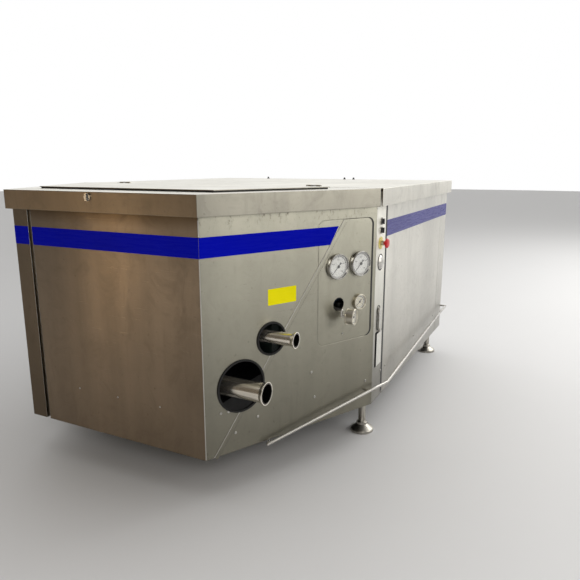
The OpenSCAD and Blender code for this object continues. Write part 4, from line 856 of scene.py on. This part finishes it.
class HOMOGENIZER_OT_screws(bpy.types.Operator):
    """Socket screws of the panels, bolts of the front lid's hinge and dark bolts on the rear lid"""

    bl_idname = "homogenizer.screws"
    bl_label = "Screws and bolts"

    # Nose screws stand along the nose panel and up; a depth is the distance behind the front
    nose_screws = ((0.512, 0.419), (0.530, 0.303), (0.833, 0.305), (0.237, 0.294), (0.069, 0.353),
                   (0.103, 0.351), (0.132, 0.255))
    plate_screw = (0.685, 0.559)
    front_screw_xs = (-0.167, 0.044, 0.260)
    front_screw_z = 0.356
    side_screw_depths = (0.910, 0.989, 1.55, 2.05)
    side_screw_z = 0.303
    hinge_bolt_xs = (-0.58, -0.54, 0.54, 0.58)
    hinge_bolt_depth = 0.745
    hinge_bolt_z = 1.183
    rear_bolt_xs = (-0.492, 0.133, 0.202)
    rear_bolt_depth = 2.27

    def add_panel_screws(self, build, size):
        """Screws of the nose, the gauge plate, the front and both sides."""
        for t, z in self.nose_screws:
            add_screw(build, size, facing(on_nose(t, z), NOSE_OUT))
        add_screw(build, size * 0.8, facing(on_nose(*self.plate_screw), NOSE_OUT))
        for x in self.front_screw_xs:
            add_screw(build, size * 0.7, facing(Vector((x, FRONT_Y, self.front_screw_z)), AHEAD))
        for side in (1, -1):
            for depth in self.side_screw_depths:
                point = Vector((side * SIDE_X, FRONT_Y + depth, self.side_screw_z))
                add_screw(build, size, facing(point, RIGHT * side))

    def add_hinge_bolts(self, build, size):
        """Bolts at the rear edge of the front lid."""
        for x in self.hinge_bolt_xs:
            point = Vector((x, FRONT_Y + self.hinge_bolt_depth, self.hinge_bolt_z))
            add_screw(build, size * 1.2, facing(point, UP, BACK))

    def add_rear_bolts(self, build, size):
        """Bolts with a stud on top, on the rear lid."""
        head = (size * 0.85, 0, 0.005)
        stud = (size * 0.5, 0.005, 0.013)
        for x in self.rear_bolt_xs:
            for radius, low, high in (head, stud):
                middle = Vector((x, FRONT_Y + self.rear_bolt_depth, REAR_LID_TOP + (low + high) / 2))
                bmesh.ops.create_cone(build, cap_ends=True, segments=20, radius1=radius,
                                      radius2=radius * 0.92, depth=high - low,
                                      matrix=Matrix.Translation(middle))

    def execute(self, context):
        size = context.scene.fitting_looks.screw_size
        steel = turned_steel("screw_steel", tone=1.2)
        black = cast_paint("bolt_black", (0.03, 0.03, 0.03))
        panel, hinge, rear = bmesh.new(), bmesh.new(), bmesh.new()
        self.add_panel_screws(panel, size)
        self.add_hinge_bolts(hinge, size)
        self.add_rear_bolts(rear, size)
        new_piece("panel_screws", panel, steel, "machine")
        new_piece("front_hinge_bolts", hinge, steel, "front_lid")
        new_piece("rear_lid_bolts", rear, black, "rear_lid")
        return {"FINISHED"}


def add_tube(build, line, radius, closed, sides=12):
    """A round strip along a line of (point, outward way) pairs that lies in one plane."""
    turns = [2 * math.pi * k / sides for k in range(sides)]
    rings = []
    for i, (point, out) in enumerate(line):
        ahead = line[(i + 1) % len(line)][0] if closed or i + 1 < len(line) else point
        behind = line[i - 1][0] if closed or i else point
        across = (ahead - behind).normalized().cross(out)
        spots = [point + (out * math.cos(turn) + across * math.sin(turn)) * radius for turn in turns]
        rings.append([build.verts.new(spot) for spot in spots])
    join_rings(build, rings, closed)
    if not closed:
        build.faces.new(list(reversed(rings[0])))
        build.faces.new(rings[-1])


def rounded(low, high, radius, steps=8):
    """The outline of a rectangle with round corners, anticlockwise."""
    outline = []
    corners = ((high[0], high[1]), (low[0], high[1]), (low[0], low[1]), (high[0], low[1]))
    for k, (x, y) in enumerate(corners):
        middle_x = x - radius if k in (0, 3) else x + radius
        middle_y = y - radius if k in (0, 1) else y + radius
        for i in range(steps + 1):
            angle = math.pi / 2 * (k + i / steps)
            outline.append((middle_x + radius * math.cos(angle), middle_y + radius * math.sin(angle)))
    return outline


def right_part(outline, split):
    """The stretch of a rounded outline from its lower right corner up to x = split on its top."""
    n = len(outline) // 4
    return outline[3 * n:] + outline[:n] + [(split, outline[n - 1][1])]


def left_part(outline, split):
    """The other stretch of a rounded outline."""
    n = len(outline) // 4
    return [(split, outline[n - 1][1])] + outline[n:3 * n + 1]


def add_strip(build, inner, outer, low, high, place):
    """A flat strip between two lines of as many points, from the height low to high."""
    lines = [[build.verts.new(place @ Vector((x, y, z))) for x, y in line]
             for line, z in ((inner, low), (inner, high), (outer, high), (outer, low))]
    for one, two in zip(lines, lines[1:] + lines[:1]):
        for i in range(len(inner) - 1):
            build.faces.new((one[i], two[i], two[i + 1], one[i + 1]))
    build.faces.new([line[0] for line in reversed(lines)])
    build.faces.new([line[-1] for line in lines])


BEAD_RADIUS = 0.0018
# The gauge plate's face, along the nose panel and up
PLATE_LOW = (0.545, 0.525)
PLATE_HIGH = (0.850, 1.056)
PLATE_CORNER = 0.030


def round_plate(margin, right, top):
    """The gauge plate's outline with a margin at the left and below, and others at the right and on top."""
    low = (PLATE_LOW[0] - margin, PLATE_LOW[1] - margin)
    high = (PLATE_HIGH[0] + right, PLATE_HIGH[1] + top)
    return rounded(low, high, PLATE_CORNER + margin)


class HOMOGENIZER_OT_edge_strips(bpy.types.Operator):
    """Bead on the front corner, gaskets of the cap and latch, and black strips in the gauge plate's groove
    and behind the column that are painted shadow
    """

    bl_idname = "homogenizer.edge_strips"
    bl_label = "Edge strips"

    # Stretches of the corner's bead below and above the band
    bead_heights = ((0.18, 0.953), (1.032, 1.09))
    cap_at = Vector((SIDE_X + 0.0005, FRONT_Y + 0.853, 0.845))
    cap_radius = 0.0362
    latch_at = Vector((SIDE_X + 0.0003, FRONT_Y + 0.848, 0.583))
    latch_radius = 0.0225
    latch_half = 0.036
    gasket_radius = 0.002
    gasket_steps = 48
    # How deep the gauge plate's strips start behind the panel's face
    plate_back = -0.0024
    lip_heights = (0.0002, 0.0005)
    # Where the black strip in the gauge plate's groove, a painted shadow, gives way to sealant, along the
    # nose panel
    groove_shade_end = 0.69
    # A black strip behind the seam between the column and the side panel: a painted shadow in the gap
    seam_shade_at = Vector((SIDE_X - 0.0035, FRONT_Y + 0.929, 0.665))
    seam_shade_size = Vector((0.008, 0.0216, 0.95))

    def add_corner_bead(self, build):
        """A round fold down the corner between front and right nose panel."""
        out = Vector((1, -2, 0)).normalized()
        for heights in self.bead_heights:
            add_tube(build, [(Vector((NOSE_X, FRONT_Y, z)), out) for z in heights], BEAD_RADIUS, False)

    def add_column_gaskets(self, build):
        """A ring round the domed cap and a long loop round the paddle latch."""
        step = 2 * math.pi / self.gasket_steps
        ring, loop = [], []
        for i in range(self.gasket_steps):
            angle = step * i
            way = Vector((0, math.cos(angle), math.sin(angle)))
            ring.append((self.cap_at + way * self.cap_radius, RIGHT))
            angle += step / 2
            rise = self.latch_radius * math.sin(angle) + math.copysign(self.latch_half, math.sin(angle))
            way = Vector((0, self.latch_radius * math.cos(angle), rise))
            loop.append((self.latch_at + way, RIGHT))
        for line in (ring, loop):
            add_tube(build, line, self.gasket_radius, True)

    def add_plate_strips(self, groove_shade, sealant):
        """A black strip with a lip in the groove at the right of the gauge plate, a painted shadow, and
        sealant at its left.
        """
        place = facing(on_nose(0, 0), NOSE_OUT)
        end = self.groove_shade_end
        inner = round_plate(0.0001, 0.0001, 0.0001)
        outer = round_plate(0.0011, 0.0061, 0.0011)
        lip = round_plate(0.0011, 0.009, 0.0015)
        base, top = self.lip_heights
        # Painted shadow: a black strip fills the groove at the plate's right and stands up in a lip
        add_strip(groove_shade, right_part(inner, end), right_part(outer, end), self.plate_back, base, place)
        add_strip(groove_shade, right_part(inner, end), right_part(lip, end), base, top, place)
        add_strip(sealant, left_part(inner, end), left_part(outer, end), self.plate_back, 0.0, place)

    def execute(self, context):
        bead_steel = bright_steel("bead_steel", tone=0.8, smooth=0.26, rough=0.4)
        black = rubber("gasket_rubber")
        sheet = bpy.data.materials["nose_sheet"]
        bead, column, groove_shade, sealant, seam = (bmesh.new() for _ in range(5))
        self.add_corner_bead(bead)
        self.add_column_gaskets(column)
        self.add_plate_strips(groove_shade, sealant)
        # Painted shadow: the black strip in the column's seam
        bmesh.ops.create_cube(seam, size=1, matrix=Matrix.LocRotScale(self.seam_shade_at, None, self.seam_shade_size))
        new_piece("corner_bead", bead, bead_steel, "machine")
        new_piece("column_gaskets", column, black, "machine")
        new_piece("plate_gasket", groove_shade, black, "machine")
        new_piece("plate_sealant", sealant, sheet, "machine")
        new_piece("seam_strip", seam, black, "machine")
        return {"FINISHED"}


def clear_runs(start, end, holes):
    """The stretches of a line that lie outside round holes, as pairs of points."""
    way = (end - start).normalized()
    marks = [0, (end - start).length]
    for middle, radius in holes:
        along = (middle - start).dot(way)
        half = math.sqrt(radius ** 2 - (middle - start - way * along).length_squared)
        marks += [along - half, along + half]
    marks.sort()
    return [(start + way * a, start + way * b) for a, b in zip(marks[::2], marks[1::2])]


class HOMOGENIZER_OT_nose_seam(bpy.types.Operator):
    """Slanting lap between the two sheets of the right nose panel, which the pipe holes interrupt"""

    bl_idname = "homogenizer.nose_seam"
    bl_label = "Nose seam"

    # The lap's left edge and the trimmed pipe holes, along the nose panel and up
    start = Vector((0.036, 0.178))
    end = Vector((0.6835, 1.056))
    inlet_hole = (Vector((0.1634, 0.442)), 0.108)
    outlet_hole = (Vector((0.3068, 0.607)), 0.070)
    lap = 0.017
    gap = 0.0012
    # How deep the lap starts behind the panel's face, and how far its parts stand out
    sunk = -0.0002
    fold_out = 0.0010
    gap_out = 0.0003
    bead_out = 0.0004

    def execute(self, context):
        place = facing(on_nose(0, 0), NOSE_OUT)
        side = Vector((self.end.y - self.start.y, self.start.x - self.end.x)).normalized()
        holes = (self.inlet_hole, self.outlet_hole)
        edges = []
        for shift in (0, self.lap, self.lap + self.gap):
            edges.append(clear_runs(self.start + side * shift, self.end + side * shift, holes))
        fold, bead, dark = bmesh.new(), bmesh.new(), bmesh.new()
        for left, right, beyond in zip(*edges):
            add_strip(fold, left, right, self.sunk, self.fold_out, place)
            add_strip(dark, right, beyond, self.sunk, self.gap_out, place)
            line = [(on_nose(t, z, self.bead_out), NOSE_OUT) for t, z in left]
            add_tube(bead, line, BEAD_RADIUS, False)
        seam_steel = bright_steel("seam_steel", tone=0.78, smooth=0.28, rough=0.4)
        new_piece("seam_fold", fold, bpy.data.materials["nose_sheet"], "machine")
        new_piece("seam_bead", bead, seam_steel, "machine")
        new_piece("seam_gap", dark, rubber("seam_rubber"), "machine")
        return {"FINISHED"}


class HOMOGENIZER_OT_blank_plate(bpy.types.Operator):
    """A blank yellow plate on the right nose panel"""

    bl_idname = "homogenizer.blank_plate"
    bl_label = "Blank plate"

    def execute(self, context):
        low = (0.292, 0.742)
        high = (0.430, 0.807)
        thick = 0.0005
        place = facing(on_nose(0, 0), NOSE_OUT)
        middle = Vector(((low[0] + high[0]) / 2, (low[1] + high[1]) / 2, 0))
        outline = [Vector((x, y, 0)) for x, y in rounded(low, high, 0.003, steps=6)]
        build = bmesh.new()
        rings = []
        for inset, z in ((0, 0), (0, thick * 0.6), (thick, thick)):
            spots = [spot - (spot - middle).normalized() * inset + UP * z for spot in outline]
            rings.append([build.verts.new(place @ spot) for spot in spots])
        join_rings(build, rings)
        build.faces.new(rings[-1])
        build.faces.new(list(reversed(rings[0])))
        yellow = foil("plate_yellow", context.scene.fitting_looks.plate_yellow)
        new_piece("blank_plate", build, yellow, "machine")
        return {"FINISHED"}


# Soft lights: where each stands, where it points, its width and height, and its colour
LAMPS = {
    "side_light": ((4.8, 0.4, 2.1), (0.6, -0.3, 0.9), (3.4, 2.4), (1.0, 0.98, 0.93)),
    "front_light": ((3.0, -4.4, 2.8), (0.2, -0.6, 0.7), (1.8, 1.8), (1.0, 0.98, 0.95)),
    "lamp_light": ((-1.70, -2.97, 1.0), (0.07, -1.14, 0.8), (0.16, 1.7), (1.0, 0.72, 0.40)),
    "corner_light": ((-1.02, -2.97, 0.45), (0.38, -1.14, 0.8), (0.5, 0.7), (1.0, 0.84, 0.64)),
    "back_light": ((3.3, 4.6, 3.4), (3.3, 4.7, 0.0), (3.0, 6.0), (1.0, 0.99, 0.96)),
    "top_light": ((0.3, 1.6, 4.4), (0.0, 0.3, 0.8), (4.0, 4.0), (1.0, 0.99, 0.97)),
}
# The room that the object mirrors: its colours, from the dark end in front to the white end behind
ROOM_WAY = (-0.24, 0.90, 0.36)
ROOM_COLOURS = (
    (0.0, (0.05, 0.038, 0.026)),
    (0.38, (0.13, 0.11, 0.085)),
    (0.58, (0.50, 0.49, 0.46)),
    (0.80, (1.0, 1.0, 0.99)),
)
CAMERA_AT = (1.6245, -2.7416, 1.2752)
CAMERA_TILT = 77.521
CAMERA_TURN = 26.520


def soft_light(name, place, target, size, colour, power):
    """A rectangular lamp that points at a target."""
    lamp = bpy.data.lights.new(name, "AREA")
    lamp.shape = "RECTANGLE"
    lamp.size, lamp.size_y = size
    lamp.energy = power
    lamp.color = colour
    light = bpy.data.objects.new(name, lamp)
    light.location = place
    light.rotation_euler = (Vector(target) - Vector(place)).to_track_quat("-Z", "Y").to_euler()
    bpy.context.scene.collection.objects.link(light)


def pale_floor(colour):
    """A wide disc of painted floor."""
    finish = Finish("floor_paint", Specular_IOR_Level=0.25)
    cloud = finish.noise(0.7, detail=6, roughness=0.6)
    fine = finish.noise(60.0, detail=4)
    finish.bump(fine, 0.08, 0.001)
    tone = finish.vary(cloud, shade(colour, 0.97), colour)
    mesh = bpy.data.meshes.new("floor")
    build = bmesh.new()
    bmesh.ops.create_circle(build, cap_ends=True, segments=96, radius=30)
    build.to_mesh(mesh)
    build.free()
    mesh.materials.append(finish.paint(tone, finish.spread(cloud, 0.5, 0.62)))
    floor = bpy.data.objects.new("floor", mesh)
    bpy.context.scene.collection.objects.link(floor)


def surroundings():
    """A world that is white to the camera, and a room with a dark and a white end to the object."""
    world = bpy.data.worlds.new("surroundings")
    world.use_nodes = True
    nodes = world.node_tree.nodes
    link = world.node_tree.links.new
    way = nodes.new("ShaderNodeTexCoord")
    toward = nodes.new("ShaderNodeVectorMath")
    toward.operation = "DOT_PRODUCT"
    toward.inputs[1].default_value = ROOM_WAY
    share = nodes.new("ShaderNodeMapRange")
    share.inputs["From Min"].default_value = -1.0
    share.inputs["From Max"].default_value = 1.0
    ramp = nodes.new("ShaderNodeValToRGB")
    stops = ramp.color_ramp.elements
    for i, (at, colour) in enumerate(ROOM_COLOURS):
        stop = stops[i] if i < 2 else stops.new(at)
        stop.position = at
        stop.color = (*colour, 1)
    room = nodes["Background"]
    link(way.outputs["Generated"], toward.inputs[0])
    link(toward.outputs["Value"], share.inputs["Value"])
    link(share.outputs["Result"], ramp.inputs["Fac"])
    link(ramp.outputs["Color"], room.inputs["Color"])
    seen = nodes.new("ShaderNodeBackground")
    seen.inputs["Color"].default_value = (*WHITE, 1)
    pick = nodes.new("ShaderNodeMixShader")
    link(nodes.new("ShaderNodeLightPath").outputs["Is Camera Ray"], pick.inputs["Fac"])
    link(room.outputs["Background"], pick.inputs[1])
    link(seen.outputs["Background"], pick.inputs[2])
    link(pick.outputs["Shader"], nodes["World Output"].inputs["Surface"])
    return world


class HOMOGENIZER_OT_stage(bpy.types.Operator):
    """Pale floor, soft light, surroundings and the camera"""

    bl_idname = "homogenizer.stage"
    bl_label = "Stage"

    def execute(self, context):
        scene = context.scene
        looks = scene.stage_looks
        scene.view_settings.view_transform = "Standard"
        pale_floor(looks.floor)
        scene.world = surroundings()
        for name, lamp in LAMPS.items():
            soft_light(name, *lamp, power=getattr(looks, name))
        lens = bpy.data.cameras.new("camera")
        lens.sensor_width = 36
        lens.lens = looks.lens
        lens.clip_end = 200
        camera = bpy.data.objects.new("camera", lens)
        camera.location = CAMERA_AT
        camera.rotation_euler = (math.radians(CAMERA_TILT), 0, math.radians(CAMERA_TURN))
        scene.collection.objects.link(camera)
        scene.camera = camera
        return {"FINISHED"}


class HOMOGENIZER_PT_panel(bpy.types.Panel):
    """Settings and operators of the homogenizer"""

    bl_idname = "HOMOGENIZER_PT_panel"
    bl_label = "Homogenizer"
    bl_space_type = "VIEW_3D"
    bl_region_type = "UI"
    bl_category = "Homogenizer"

    def draw(self, context):
        for group in ("cabinet_looks", "fitting_looks", "stage_looks"):
            box = self.layout.box()
            settings = getattr(context.scene, group)
            for key in settings.bl_rna.properties.keys():
                if key not in ("rna_type", "name"):
                    box.prop(settings, key)
        for maker in MAKERS:
            self.layout.operator(maker.bl_idname)


MAKERS = (
    HOMOGENIZER_OT_cabinet,
    HOMOGENIZER_OT_pipework,
    HOMOGENIZER_OT_drive,
    HOMOGENIZER_OT_controls,
    HOMOGENIZER_OT_feet,
    HOMOGENIZER_OT_dial_prints,
    HOMOGENIZER_OT_screws,
    HOMOGENIZER_OT_edge_strips,
    HOMOGENIZER_OT_nose_seam,
    HOMOGENIZER_OT_blank_plate,
    HOMOGENIZER_OT_stage,
)
GROUPS = {"cabinet_looks": CabinetLooks, "fitting_looks": FittingLooks, "stage_looks": StageLooks}


def register():
    for key, group in GROUPS.items():
        bpy.utils.register_class(group)
        setattr(bpy.types.Scene, key, bpy.props.PointerProperty(type=group))
    for maker in MAKERS:
        bpy.utils.register_class(maker)
    bpy.utils.register_class(HOMOGENIZER_PT_panel)


def unregister():
    bpy.utils.unregister_class(HOMOGENIZER_PT_panel)
    for maker in reversed(MAKERS):
        bpy.utils.unregister_class(maker)
    for key, group in GROUPS.items():
        delattr(bpy.types.Scene, key)
        bpy.utils.unregister_class(group)


def main():
    register()
    for maker in MAKERS:
        group, name = maker.bl_idname.split(".")
        getattr(getattr(bpy.ops, group), name)()


if __name__ == "__main__":
    main()
